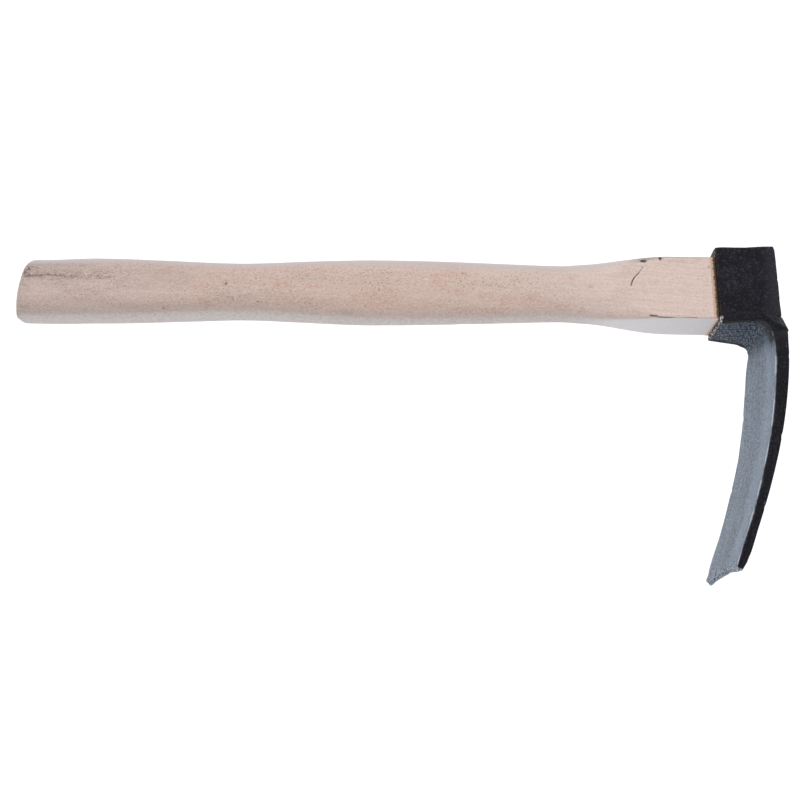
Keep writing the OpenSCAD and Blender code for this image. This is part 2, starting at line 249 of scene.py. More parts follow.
def cutter_box(x0, x1, half_y, low, top):
    """Cutting box from x0 to x1; half_y, low and top each hold a value at x0 and at x1."""
    (y0, y1), points = half_y, []
    for z0, z1 in (low, top):
        points += [(x0, -y0, z0), (x1, -y1, z1), (x1, y1, z1), (x0, y0, z0)]
    faces = [(0, 3, 2, 1), (4, 5, 6, 7), (0, 1, 5, 4), (1, 2, 6, 5), (2, 3, 7, 6), (3, 0, 4, 7)]
    mesh = bpy.data.meshes.new("cutter")
    mesh.from_pydata([tuple(c * MM for c in p) for p in points], [], faces)
    mesh.update()
    obj = bpy.data.objects.new("cutter", mesh)
    bpy.context.scene.collection.objects.link(obj)
    return obj


def level_cutter(x0, x1, width, z, thin, thick):
    """Cutting box about the height z that thickens from x0 to x1."""
    low, top = (z - thin / 2, z - thick / 2), (z + thin / 2, z + thick / 2)
    return cutter_box(x0, x1, (width / 2, width / 2), low, top)


def cut(part, cutters, solver, fewest_faces):
    """Takes the cutters out of the part; too few faces left means the cut went wrong."""
    uncut = part.data.copy()
    for cutter in cutters:
        modifier = part.modifiers.new("slot", "BOOLEAN")
        modifier.operation = "DIFFERENCE"
        modifier.object = cutter
        # Guards against a Blender build that lacks the manifold solver.
        try:
            modifier.solver = solver
        except TypeError:
            modifier.solver = "EXACT"
        with bpy.context.temp_override(object=part, active_object=part, selected_objects=[part]):
            bpy.ops.object.modifier_apply(modifier=modifier.name)
    for cutter in cutters:
        bpy.data.objects.remove(cutter)
    if len(part.data.polygons) < fewest_faces:
        part.data = uncut


# ------------------------------------------------------------------ node graphs

def linear(colour):
    """Linear RGBA of a screen colour, 0 to 255."""
    parts = [c / 255.0 for c in colour]
    return (*[c / 12.92 if c <= 0.04045 else ((c + 0.055) / 1.055) ** 2.4 for c in parts], 1.0)


class Value:
    """Output of a shader node; arithmetic on it adds nodes."""

    def __init__(self, graph, socket):
        self.graph, self.socket = graph, socket

    def __add__(self, other):
        return self.graph.math("ADD", self, other)

    def __radd__(self, other):
        return self.graph.math("ADD", other, self)

    def __sub__(self, other):
        return self.graph.math("SUBTRACT", self, other)

    def __rsub__(self, other):
        return self.graph.math("SUBTRACT", other, self)

    def __mul__(self, other):
        return self.graph.math("MULTIPLY", self, other)

    def __abs__(self):
        return self.graph.math("ABSOLUTE", self)

    def clamped(self, factor):
        """The product with factor, kept in 0..1."""
        return self.graph.math("MULTIPLY", self, factor, clamp=True)

    def ramp(self, zero, one):
        """0 at zero, 1 at one, smooth in between; zero may be above one."""
        if not isinstance(zero, Value) and zero > one:
            return self.graph.map_range(self, (one, zero), (1.0, 0.0))
        return self.graph.map_range(self, (zero, one), (0.0, 1.0))

    def parts(self):
        """The x, y and z of a vector."""
        split = self.graph.node("SeparateXYZ", {0: self})
        return [Value(self.graph, socket) for socket in split.socket.node.outputs]

    def mapped(self, stretch, move):
        if not (stretch or move):
            return self
        inputs = {"Vector": self, "Scale": stretch or (1, 1, 1), "Location": move or (0, 0, 0)}
        return self.graph.node("Mapping", inputs)

    def noise(self, stretch=None, move=None, scale=1.0, detail=2.0, rough=0.5):
        inputs = {"Vector": self.mapped(stretch, move), "Scale": scale,
                  "Detail": detail, "Roughness": rough}
        return self.graph.node("TexNoise", inputs, "Fac")

    def cells(self, stretch=None, move=None, scale=1.0):
        """Distance to the nearest of many scattered points."""
        inputs = {"Vector": self.mapped(stretch, move), "Scale": scale}
        return self.graph.node("TexVoronoi", inputs, "Distance")


class Graph:
    """Node tree of a material or world. Colours are screen colours, 0 to 255."""

    def __init__(self, owner):
        self.owner = owner
        owner.use_nodes = True
        self.tree = owner.node_tree
        self.tree.nodes.clear()

    def node(self, kind, inputs=None, output=0, **settings):
        """Adds a node, fills its inputs by name or number and gives one output."""
        node = self.tree.nodes.new("ShaderNode" + kind)
        for key, value in settings.items():
            setattr(node, key, value)
        for key, value in (inputs or {}).items():
            if isinstance(value, Value):
                self.tree.links.new(value.socket, node.inputs[key])
            else:
                node.inputs[key].default_value = value
        return Value(self, node.outputs[output]) if len(node.outputs) else None

    def math(self, operation, a, b=0.0, c=0.0, clamp=False):
        return self.node("Math", {0: a, 1: b, 2: c}, operation=operation, use_clamp=clamp)

    def max(self, first, *others):
        for other in others:
            first = self.math("MAXIMUM", first, other)
        return first

    def map_range(self, value, ends, results):
        inputs = {"Value": value, "From Min": ends[0], "From Max": ends[1],
                  "To Min": results[0], "To Max": results[1]}
        return self.node("MapRange", inputs, "Result", interpolation_type="SMOOTHSTEP")

    def vector(self, operation, a, b=None, scale=None):
        inputs = {0: a, 1: b, "Scale": scale}
        inputs = {key: value for key, value in inputs.items() if value is not None}
        number = operation in ("LENGTH", "DISTANCE", "DOT_PRODUCT")
        return self.node("VectorMath", inputs, "Value" if number else "Vector",
                         operation=operation)

    def combine(self, x, y, z):
        return self.node("CombineXYZ", {0: x, 1: y, 2: z})

    def place(self):
        """Position in millimetres in the part's frame."""
        return self.vector("SCALE", self.node("TexCoord", output="Object"), scale=1000.0)

    def normal(self):
        return self.node("NewGeometry", output="Normal").parts()

    def attribute(self, name):
        return self.node("Attribute", output="Fac", attribute_name=name)

    def blend(self, first, second, amount):
        """Colour that goes from first to second with the amount."""
        first, second = (linear(c) if isinstance(c, tuple) else c for c in (first, second))
        return self.node("Mix", {"Factor": amount, 6: first, 7: second}, 2, data_type="RGBA")

    def layers(self, base, *coats):
        """Lays coats over a colour in turn; each coat is a colour and an amount."""
        for colour, amount in coats:
            base = self.blend(base, colour, amount)
        return base

    def lerp(self, a, b, amount):
        return self.node("Mix", {"Factor": amount, 2: a, 3: b}, data_type="FLOAT")

    def spot(self, at, centre, half_x, half_across, soft):
        """Round mark with a soft rim, a share of its size."""
        d = self.vector("SUBTRACT", at, centre)
        d = self.vector("MULTIPLY", d, (1 / half_x, 1 / half_across, 1 / half_across))
        return self.vector("LENGTH", d).ramp(1.0, 1.0 - soft)

    def line(self, at, start, end, half_width):
        """Straight soft mark between two points."""
        run = tuple(end[k] - start[k] for k in range(3))
        d = self.vector("SUBTRACT", at, start)
        share = self.vector("DOT_PRODUCT", d, run).clamped(1.0 / sum(k * k for k in run))
        distance = self.vector("DISTANCE", d, self.vector("SCALE", run, scale=share))
        return distance.ramp(half_width * 1.6, half_width * 0.4)

    def relief(self, height, distance, strength):
        """Bump normal; distance is in metres."""
        return self.node("Bump", {"Height": height, "Distance": distance, "Strength": strength})

    def finish(self, **inputs):
        inputs = {key.replace("_", " "): value for key, value in inputs.items()}
        self.node("OutputMaterial", {0: self.node("BsdfPrincipled", inputs)})
        return self.owner


def new_graph(name):
    return Graph(bpy.data.materials.new(name))


def eye_rear(g, z):
    """X of the leaning rear end of the eye at the height z."""
    return g.math("MULTIPLY_ADD", z - LEG_TOP, 0.6 * EYE_LEAN / LEG_TOP, EYE_REAR_X)


# ------------------------------------------------------------------ wood

# Dark scratches on the near side of the haft: two ends, half width, strength.
SCRATCHES = [
    ((-50.6, -12.2, -11.1), (-52.7, -12.2, -14.3), 0.21, 0.55),
    ((-52.7, -12.2, -14.3), (-55.1, -12.2, -17), 0.26, 0.85),
    ((-55.1, -12.2, -17), (-56.2, -12.2, -19.1), 0.31, 1),
    ((-56.2, -12.2, -19.1), (-56.9, -12.2, -21.4), 0.31, 0.85),
    ((-47.7, -11.5, -37.1), (-44.6, -11.7, -37.4), 0.45, 0.9),
    ((-44.5, -11.4, -37.8), (-35.2, -11.9, -38.3), 0.29, 0.85),
    ((-35.2, -11.9, -38.3), (-25.2, -12, -38.2), 0.23, 0.7),
]


def beech():
    g = new_graph("beech")
    p = g.place()
    x, y, z = p.parts()
    near = y.ramp(3.0, -3.0)
    nx, _, nz = g.normal()
    end_front = nx.ramp(0.75, 0.95)
    end_butt = nx.ramp(-0.80, -0.97)

    # Greyer towards the butt, browner midway, pinker at the head.
    base = g.layers(
        g.blend((200, 179, 171), (221, 200, 190), x.ramp(-375.0, -20.0)),
        ((208, 174, 157), x.ramp(-350.0, -250.0) * (x.ramp(-55.0, -150.0) * 0.34)),
        ((230, 206, 196), x.ramp(-95.0, -40.0) * 0.55))

    # Growth rings run almost along the haft and are cut by its curves.
    warp = p.noise((0.006, 0.05, 0.05))
    bands = g.math("SINE", (z * 0.62 + y * 0.30 + x * 0.022 + warp * 9.0) * 2.3)
    band_soft = p.noise((0.02, 0.2, 0.2), (3, 7, 1), detail=3.0, rough=0.6)

    # Long fibres, short rays, cloudy patches, specks and dots.
    fibre = p.noise((0.11, 1.6, 1.6), detail=4.0, rough=0.70)
    ray_on = p.noise((0.05, 0.12, 0.12), (9, 2, 4))
    ray = p.cells((0.42, 2.3, 2.3)).ramp(0.24, 0.10) * ray_on.ramp(0.42, 0.62)
    cloud = p.noise((0.028, 0.08, 0.08), (1, 5, 2), detail=4.0, rough=0.6)
    speck = p.noise((0.95, 1.5, 1.5), detail=3.0, rough=0.8)
    dots = p.cells((0.62, 0.95, 0.95)).ramp(0.30, 0.10) * cloud.ramp(0.38, 0.54)
    dots = dots * x.ramp(-60.0, -120.0)

    # Fine lines across the flat near the head.
    chatter_on = x.ramp(-78.0, -50.0) * x.ramp(-17.0, -24.0)
    chatter_warp = p.noise((0.03, 0.1, 0.16))
    chatter = g.math("SINE", z * 2.8 + x * 0.30 + chatter_warp * 7.0)
    chatter = chatter.ramp(0.35, 1.0) * chatter_on
    butt_top = x.ramp(-318.0, -368.0) * (z.ramp(AXIS_Z + 2, AXIS_Z + 11) * 0.42)

    # Reddish smudges and grey dirt: broad areas from the mesh, broken up by fine noise.
    broken = p.noise((0.55, 0.9, 0.9), (2, 2, 2), detail=4.0, rough=0.74)
    rust = g.attribute("rust") * broken.ramp(0.42, 0.60)
    rust_cells = p.cells((0.6, 1.1, 1.1), scale=0.8)
    rust_dots = g.attribute("rust") * rust_cells.ramp(0.22, 0.08)
    dirt_noise = p.noise((0.40, 1.0, 1.0), (5, 1, 8), detail=4.0, rough=0.76)
    dirt = g.attribute("dirt") * dirt_noise.ramp(0.42, 0.59)
    base = g.layers(
        base,
        ((205, 180, 168), bands.ramp(0.3, 1.0) * (band_soft * 0.20)),
        ((232, 218, 210), bands.ramp(-0.4, -1.0) * 0.08),
        ((186, 162, 150), fibre.ramp(0.50, 0.74) * 0.32),
        ((240, 226, 218), fibre.ramp(0.46, 0.26) * 0.16),
        ((158, 126, 112), ray * 0.42),
        ((190, 166, 156), cloud.ramp(0.48, 0.75) * 0.42),
        ((155, 127, 113), speck.ramp(0.53, 0.67) * 0.40),
        ((242, 226, 218), speck.ramp(0.47, 0.33) * 0.42),
        ((128, 98, 84), dots * 0.80),
        ((196, 168, 156), chatter * 0.17),
        ((166, 150, 145), butt_top),
        ((200, 138, 114), rust.clamped(0.82)),
        ((142, 98, 82), rust_dots.clamped(0.75)),
        ((116, 102, 98), dirt.clamped(1.00)))

    # Painted reflection of the white surroundings: the underside is paler, the rims beside it
    # and the upper side greyer; a painted shadow line runs along the top next to the eye.
    painted_rim_sheen = nz.ramp(-0.62, -0.86) * 0.40
    under = nz.ramp(-0.86, -0.97)
    at_head = x.ramp(-92.0, -60.0)
    uneven = broken.ramp(0.40, 0.62)
    painted_underside_reflection = under * ((0.86 + at_head * 0.12) - uneven * (0.30 - at_head * 0.26))
    flecks = uneven * (abs(nz).ramp(0.50, 0.85) * (0.32 - at_head * 0.26))
    base = g.layers(
        base,
        # Painted sheen on the rims, painted reflection on the underside, greyer upper side.
        ((194, 184, 180), painted_rim_sheen),
        (g.blend((207, 203, 202), (226, 223, 225), at_head), painted_underside_reflection),
        ((160, 144, 134), flecks),
        ((189, 185, 187), nz.ramp(0.22, 0.70) * 0.58),
        # Painted shadow line along the top, next to the eye.
        ((120, 112, 112), nz.ramp(0.12, 0.50) * (x.ramp(-60.0, -48.0) * 0.55)))

    # Soil, scratches and black nicks on the near side.
    shift = (p.noise(scale=0.9, detail=3.0, rough=0.7) - 0.5) * 2.6
    loose = g.vector("ADD", p, g.combine(shift, 0.0, shift * -0.8))
    dark = 0.0
    for start, end, half_width, strength in SCRATCHES:
        dark = g.max(g.line(p, start, end, half_width) * strength, dark)
    crumb = p.noise((0.8, 1.2, 1.2), (6, 3, 9), scale=1.3, detail=3.0, rough=0.75)
    soil_noise = p.noise((0.7, 1.0, 1.0), (2, 9, 4), scale=1.1, detail=3.0, rough=0.75)
    soil = (g.attribute("soil") + (soil_noise - 0.5) * 1.7).ramp(0.22, 0.66)
    soil = soil * (0.40 + crumb.ramp(0.34, 0.58) * 0.60) * near
    dark = dark * near
    nick = g.max(g.spot(loose, (-50.4, -12.0, -7.6), half_x=2.3, half_across=1.5, soft=0.6),
                 g.spot(loose, (-42.0, -12.2, -6.5), half_x=1.3, half_across=1.1, soft=0.6))

    # Dust in the last millimetres before the eye, a tan strip, then ragged dark paint.
    to_eye = eye_rear(g, z) - x
    last = to_eye.ramp(4.5, 1.2)
    dust = p.noise(move=(8, 1, 2), scale=1.5, detail=3.0, rough=0.7).ramp(0.56, 0.66)
    outside = to_eye.ramp(-0.4, -0.1)
    torn = p.noise((0.9, 0.9, 0.9), (8, 1, 2), detail=4.0, rough=0.78) - 0.5
    side = nz.ramp(-0.90, -0.60)
    tan = (to_eye + torn * 2.2).ramp(2.95, 2.35) * outside * side
    run = (to_eye + torn * 3.6).ramp(1.65, 1.05) * outside * (0.25 + side * 0.75)
    run_noise = p.noise(move=(3, 3, 6), scale=1.4, detail=3.0, rough=0.7)
    base = g.layers(
        base,
        ((112, 88, 76), soil),
        ((70, 56, 52), dark),
        ((52, 46, 48), g.math("MINIMUM", nick, 1.0) * (near * 0.95)),
        ((232, 206, 196), last * 0.55),
        ((150, 128, 84), last * (dust * (0.25 + z.ramp(-14.0, -7.0) * 0.6))),
        ((198, 164, 138), tan * 0.80),
        (g.blend((34, 27, 24), (104, 76, 50), run_noise.ramp(0.44, 0.64)), run * 0.94))

    # End grain at both ends: rings about a centre outside the haft, and pores.
    radius = g.math("SQRT", (y + 22.0) * (y + 22.0) + (z + 40.0) * (z + 40.0))
    end_rings = g.math("SINE", (radius + p.noise(scale=0.18) * 5.0) * 2.6)
    pores = p.cells(scale=2.6).ramp(0.30, 0.12)
    end = g.layers((190, 158, 132),
                   ((140, 108, 84), end_rings.ramp(-0.2, 1.0) * 0.65),
                   ((92, 68, 54), pores * 0.55))
    base = g.layers(base,
                    (end, end_front),
                    (g.blend(end, (176, 166, 160), 0.55), end_butt * 0.85))

    height = (fibre * 0.55 + speck * 0.35 + bands * 0.06 + ray * -0.25
              + chatter * -0.12 + dark * -1.6 + soil * -0.5)
    height = height + pores * (g.max(end_front, end_butt) * -1.0)
    return g.finish(Base_Color=base, Roughness=0.62 + fibre * 0.18,
                    Normal=g.relief(height, distance=0.00016, strength=0.55),
                    Specular_IOR_Level=0.32, Sheen_Weight=0.22, Sheen_Roughness=0.45)


def wedge_wood():
    g = new_graph("wedge_wood")
    p = g.place()
    z = p.parts()[2]
    nx = g.normal()[0]
    fibre = p.noise((0.08, 2.4, 2.4), detail=4.0, rough=0.65)
    pores = p.cells(scale=3.4).ramp(0.32, 0.10)
    lines = g.math("SINE", z * 3.4 + p.noise(scale=0.4) * 6.0)
    end = g.layers((172, 134, 98),
                   ((112, 80, 56), lines.ramp(-0.3, 1.0) * 0.8),
                   ((70, 50, 40), pores * 0.6))
    base = g.layers((196, 160, 124),
                    ((150, 112, 80), fibre.ramp(0.38, 0.70)),
                    (end, nx.ramp(0.7, 0.95)))
    return g.finish(Base_Color=base, Roughness=0.78, Specular_IOR_Level=0.25,
                    Normal=g.relief(fibre - pores * 0.7, distance=0.0002, strength=0.6))


# ------------------------------------------------------------------ paint and steel

def paint_parts(g, p):
    """Colour, roughness and relief height of black paint on rough steel."""
    big = p.noise(scale=0.09, detail=3.0, rough=0.55)
    peel = p.noise(scale=0.95, detail=3.0, rough=0.62)
    fine = p.noise(move=(3, 9, 5), scale=2.2, rough=0.6)
    speck = p.cells(scale=0.85).ramp(0.17, 0.05)
    speck_on = p.noise(move=(7, 7, 1), scale=0.22).ramp(0.46, 0.60)
    colour = g.layers((15, 14, 22),
                      ((29, 28, 37), big.ramp(0.35, 0.68)),
                      ((8, 8, 11), peel.ramp(0.50, 0.68) * 0.80),
                      ((62, 60, 70), peel.ramp(0.46, 0.32) * 0.80),
                      ((110, 110, 118), speck * (speck_on * 0.85)))
    rough = 0.42 + fine * 0.22 + big * 0.10
    return colour, rough, peel * 1.0 + fine * 0.35 + big * 0.8


def eye_paint():
    g = new_graph("eye_paint")
    p = g.place()
    x, _, z = p.parts()
    colour, rough, height = paint_parts(g, p)
    # Paint ends ragged at the haft side, with rust and bare metal below it.
    jag = p.noise((0.6, 0.8, 0.8), detail=4.0, rough=0.75)
    from_end = x - eye_rear(g, z)
    worn = (from_end - jag * 1.3).ramp(0.05, -0.40)
    brown = (from_end - jag * 1.9).ramp(0.1, -0.8)
    rust = p.noise(move=(2, 6, 3), scale=0.8, detail=3.0, rough=0.7)
    under = g.layers((26, 22, 22),
                     ((74, 58, 46), rust.ramp(0.42, 0.64)),
                     ((104, 106, 104), rust.ramp(0.58, 0.70) * z.ramp(-8.0, -3.0)))
    # Rubbed arrises.
    rub_noise = p.noise(move=(6, 2, 7), scale=0.55, detail=3.0, rough=0.7)
    rub = g.attribute("arris") * rub_noise.ramp(0.56, 0.68)
    colour = g.layers(colour,
                      ((58, 57, 66), x.ramp(5.0, 14.0) * 0.44),
                      ((58, 40, 30), brown * 0.45),
                      (under, worn),
                      ((112, 110, 112), rub * 0.65),
                      ((70, 62, 58), g.attribute("inside") * 0.6))
    return g.finish(Base_Color=colour, Roughness=g.lerp(rough, 0.55, worn),
                    Metallic=g.max(worn, rub * 0.6) * 0.35,
                    Normal=g.relief(height - worn * 0.8, distance=0.00038, strength=0.7),
                    Specular_IOR_Level=0.18)


def weld_paint():
    g = new_graph("weld_paint")
    p = g.place()
    colour, rough, height = paint_parts(g, p)
    spatter = p.cells(scale=1.1).ramp(0.22, 0.08)
    colour = g.blend(colour, (92, 82, 76), spatter * (p.noise(scale=0.5) * 0.55))
    normal = g.relief(height + spatter * 0.8, distance=0.00036, strength=0.7)
    return g.finish(Base_Color=colour, Roughness=rough, Normal=normal, Specular_IOR_Level=0.24)


def blade_finish():
    """Bare inner face, bevel and land; black paint elsewhere; scale on leg and bend."""
    g = new_graph("blade_finish")
    p = g.place()
    along, through = g.attribute("along"), g.attribute("through")
    across, to_edge = g.attribute("across"), g.attribute("toedge")
    q = g.combine(along, across * 28.0, through * 6.0)
    paint, rough_paint, height_paint = paint_parts(g, p)

    # Bare areas, with ragged borders of the paint.
    rag = q.noise((0.60, 0.55, 0.9), detail=4.0, rough=0.75) - 0.5
    rag_soft = q.noise((0.12, 0.3, 0.3), (3, 1, 2), detail=3.0, rough=0.6) - 0.5
    from_side = 1.0 - abs(across)
    leg_zone = along.ramp(26.0, 17.0)
    border = 0.004 + leg_zone * 0.19
    steel = (from_side - border) + (rag + rag_soft) * (0.012 + leg_zone * 0.42)
    steel = steel.ramp(-0.004, 0.010) * through.ramp(0.20, 0.06)
    bevel = through.ramp(0.93, 0.99) * (to_edge + rag * 4.0).ramp(8.6, 7.6)
    land = to_edge.ramp(0.75, 0.35)
    bare = g.max(steel, bevel, land)

    # Ground steel: streaks, grain and pits; painted shade in the middle of the hollow face and
    # painted highlight towards its near side.
    streak = q.noise((0.07, 0.22, 0.55), detail=4.0, rough=0.7)
    fine = q.noise((0.80, 0.42, 0.8), rough=0.65)
    grain = q.noise((0.95, 0.34, 0.80), (1, 3, 5), detail=3.0, rough=0.65)
    pit = q.noise((0.70, 0.26, 0.65), (6, 2, 8), rough=0.6).ramp(0.58, 0.66)
    middle = abs((across - 0.02) + rag_soft * 0.35).ramp(0.42, 0.05)
    light = across.ramp(-0.30, -0.52) * across.ramp(-1.05, -0.70)

    # Leg and bend: darker, mottled scale.
    scale_noise = q.noise((1.05, 0.36, 0.50), (4, 4, 4), detail=3.0, rough=0.60)
    leg = (along + rag_soft * 16.0).ramp(40.0, 25.0)
    patch = q.noise((0.62, 0.22, 0.4), (9, 9, 1), rough=0.6)
    mottle = g.layers((12, 16, 26),
                      ((120, 134, 153), scale_noise.ramp(0.43, 0.60)),
                      ((32, 35, 44), patch.ramp(0.53, 0.62) * 0.80))
    # Burns by the near weld: along the side at the start of the bend, and a round one.
    burn = (across + rag_soft * 0.5).ramp(-0.50, -0.80)
    burn = burn * (along.ramp(14.0, 19.0) * (along + rag * 9.0).ramp(34.0, 25.0))
    drift = (p.noise(scale=0.45, detail=3.0, rough=0.7) - 0.5) * 9.0
    scorch = g.spot(g.vector("ADD", p, g.combine(drift, 0.0, drift)), (8.2, -20.8, -49.0),
                    half_x=8.0, half_across=9.5, soft=0.70)
    # Speckled just above the edge; painted highlight on the land and a thin painted highlight
    # line along the sides.
    near_edge = to_edge.ramp(7.5, 0.5)
    edge_speck = near_edge * (grain.ramp(0.45, 0.58) * (0.45 + across.ramp(0.35, 0.90) * 0.45))
    painted_edge_highlight = g.max(land * 0.9, near_edge * 0.40) * fine.ramp(0.50, 0.60)
    rim_on = q.noise((0.10, 0.1, 0.1), detail=3.0)
    painted_rim_sheen = (from_side - rag * 0.05).ramp(0.080, 0.040) * rim_on.ramp(0.42, 0.56)
    metal_colour = g.layers(
        (96, 108, 122),
        ((121, 135, 152), streak.ramp(0.33, 0.68)),
        ((62, 72, 86), grain.ramp(0.50, 0.61) * 0.92),
        ((56, 64, 76), pit * 0.60),
        ((140, 152, 168), fine.ramp(0.53, 0.66) * 0.80),
        ((85, 94, 109), fine.ramp(0.46, 0.32) * 0.70),
        # Painted shade in the middle; painted highlights towards and along the near side.
        ((80, 90, 103), middle * 0.24),
        ((137, 151, 169), light * 0.34),
        ((131, 133, 143), across.ramp(-0.80, -0.98) * 0.35),
        (mottle, leg * 0.95),
        ((34, 37, 34), burn * 0.85),
        ((30, 31, 30), scorch * 0.92),
        ((52, 57, 70), edge_speck),
        # Painted highlights: on the land, and a thin line along the sides.
        ((179, 189, 203), painted_edge_highlight),
        ((184, 191, 205), painted_rim_sheen * (along.ramp(30.0, 40.0) * 0.85)),
        ((66, 74, 88), across.ramp(0.92, 0.98) * (along.ramp(30.0, 40.0) * 0.6)))

    # The end of the leg at the haft: torn and rusty bare steel, made pale with painted
    # reflection.
    torn = (along + rag * 2.4).ramp(g.lerp(1.0, 1.5, across.ramp(0.2, -0.7)), 0.5)
    torn_noise = p.noise((1, 0.45, 1), (1, 8, 3), detail=4.0, rough=0.75)
    torn_steel_and_painted_reflection = g.layers((40, 38, 42),
                           # Painted reflection: pale patches on the torn steel.
                           ((232, 226, 222), torn_noise.ramp(0.50, 0.58)),
                           ((128, 96, 72), p.noise(scale=0.7).ramp(0.52, 0.62) * 0.6))
    chips = q.cells((0.09, 0.16, 0.16), (2, 5, 1)).ramp(0.10, 0.055) * through.ramp(0.15, 0.4)
    colour = g.layers(paint,
                      ((6, 5, 12), 0.42),
                      ((120, 118, 122), chips * 0.3),
                      (metal_colour, bare),
                      (torn_steel_and_painted_reflection, torn))

    rough = g.lerp(rough_paint, 0.46 + fine * 0.14 + leg * 0.14, bare)
    height_steel = fine * 0.25 + grain * 0.45 + streak * 0.3 + leg * (scale_noise * 0.9)
    height = g.lerp(height_paint, height_steel, bare)
    height = height + bare * -0.35 + torn * (torn_noise * 2.5)
    normal = g.relief(height, distance=g.lerp(0.00038, 0.00020, bare), strength=0.6)
    return g.finish(Base_Color=colour, Roughness=rough, Normal=normal,
                    Metallic=bare * (1.0 - torn) * 0.55,
                    Specular_IOR_Level=g.lerp(0.17, 0.45, bare))


def wedge_steel():
    g = new_graph("wedge_steel")
    p = g.place()
    mottle = p.noise(scale=0.8, detail=4.0, rough=0.7)
    rust = p.noise(move=(5, 5, 2), scale=0.5, detail=3.0, rough=0.7).ramp(0.54, 0.66)
    colour = g.layers((52, 50, 52),
                      ((110, 106, 104), mottle.ramp(0.38, 0.66)),
                      ((104, 66, 44), rust * 0.6))
    height = p.cells(scale=0.55) * 0.8 + mottle
    return g.finish(Base_Color=colour, Roughness=0.5, Metallic=0.7,
                    Normal=g.relief(height, distance=0.00025, strength=0.6))


# ------------------------------------------------------------------ haft

ROOT_HEIGHT, ROOT_THICK = OPEN_HEIGHT + 1.4, EYE_WIDTH - 1.5

# Stations of the haft from the eye to the butt: share of the length, height, thickness.
STATIONS = np.array([
    (0.000, ROOT_HEIGHT, ROOT_THICK),
    (0.090, ROOT_HEIGHT, ROOT_THICK),
    (0.131, mix(NECK_HEIGHT, ROOT_HEIGHT, 0.83), mix(NECK_THICK, ROOT_THICK, 0.6)),
    (0.175, mix(NECK_HEIGHT, ROOT_HEIGHT, 0.39), NECK_THICK),
    (0.208, NECK_HEIGHT, NECK_THICK),
    (0.279, mix(NECK_HEIGHT, SWELL_HEIGHT, 0.30), mix(NECK_THICK, GRIP_THICK, 0.20)),
    (0.351, mix(NECK_HEIGHT, SWELL_HEIGHT, 0.69), mix(NECK_THICK, GRIP_THICK, 0.45)),
    (0.425, mix(NECK_HEIGHT, SWELL_HEIGHT, 0.94), mix(NECK_THICK, GRIP_THICK, 0.62)),
    (0.475, SWELL_HEIGHT, mix(NECK_THICK, GRIP_THICK, 0.68)),
    (0.534, mix(WAIST_HEIGHT, SWELL_HEIGHT, 0.77), mix(NECK_THICK, GRIP_THICK, 0.64)),
    (0.589, mix(WAIST_HEIGHT, SWELL_HEIGHT, 0.43), mix(NECK_THICK, GRIP_THICK, 0.54)),
    (0.636, mix(WAIST_HEIGHT, SWELL_HEIGHT, 0.10), mix(NECK_THICK, GRIP_THICK, 0.46)),
    (0.670, WAIST_HEIGHT, mix(NECK_THICK, GRIP_THICK, 0.44)),
    (0.718, mix(WAIST_HEIGHT, GRIP_HEIGHT, 0.19), mix(NECK_THICK, GRIP_THICK, 0.54)),
    (0.797, mix(WAIST_HEIGHT, GRIP_HEIGHT, 0.66), mix(NECK_THICK, GRIP_THICK, 0.78)),
    (0.840, mix(WAIST_HEIGHT, GRIP_HEIGHT, 0.90), mix(NECK_THICK, GRIP_THICK, 0.92)),
    (0.890, GRIP_HEIGHT, GRIP_THICK),
    (1.000, GRIP_HEIGHT - 0.6, GRIP_THICK - 0.3),
])
STATIONS[:, 0] *= HAFT_LENGTH

# Marks below lie on the near side of the haft.
# Soiled streaks: two ends, half width, strength.
STREAKS = [
    ((-374.0, -13.4, -18.5), (-363.9, -13.6, -18.1), 0.50, 0.58),
    ((-364, -13.6, -17.4), (-353.9, -13.6, -18.3), 0.43, 0.45),
    ((-352.5, -13.6, -18.4), (-325.5, -13.6, -18.9), 1.15, 0.36),
    ((-374.5, -13.1, -16.4), (-371, -13.3, -13), 0.8, 0.55),
    ((-141.6, -12.2, -15.2), (-138.8, -12.2, -15.6), 0.31, 0.5),
    ((-205.6, 0.6, -38.1), (-199.4, 1.3, -38.3), 0.31, 0.6),
    ((-142.9, 1, -37.7), (-138.2, 2.5, -37.4), 0.26, 0.28),
    ((-133.6, -3.3, -37), (-129.5, -2, -37.1), 0.31, 0.28),
    ((-129.5, -0.2, -37.2), (-124.8, 0.8, -37), 0.26, 0.25),
]
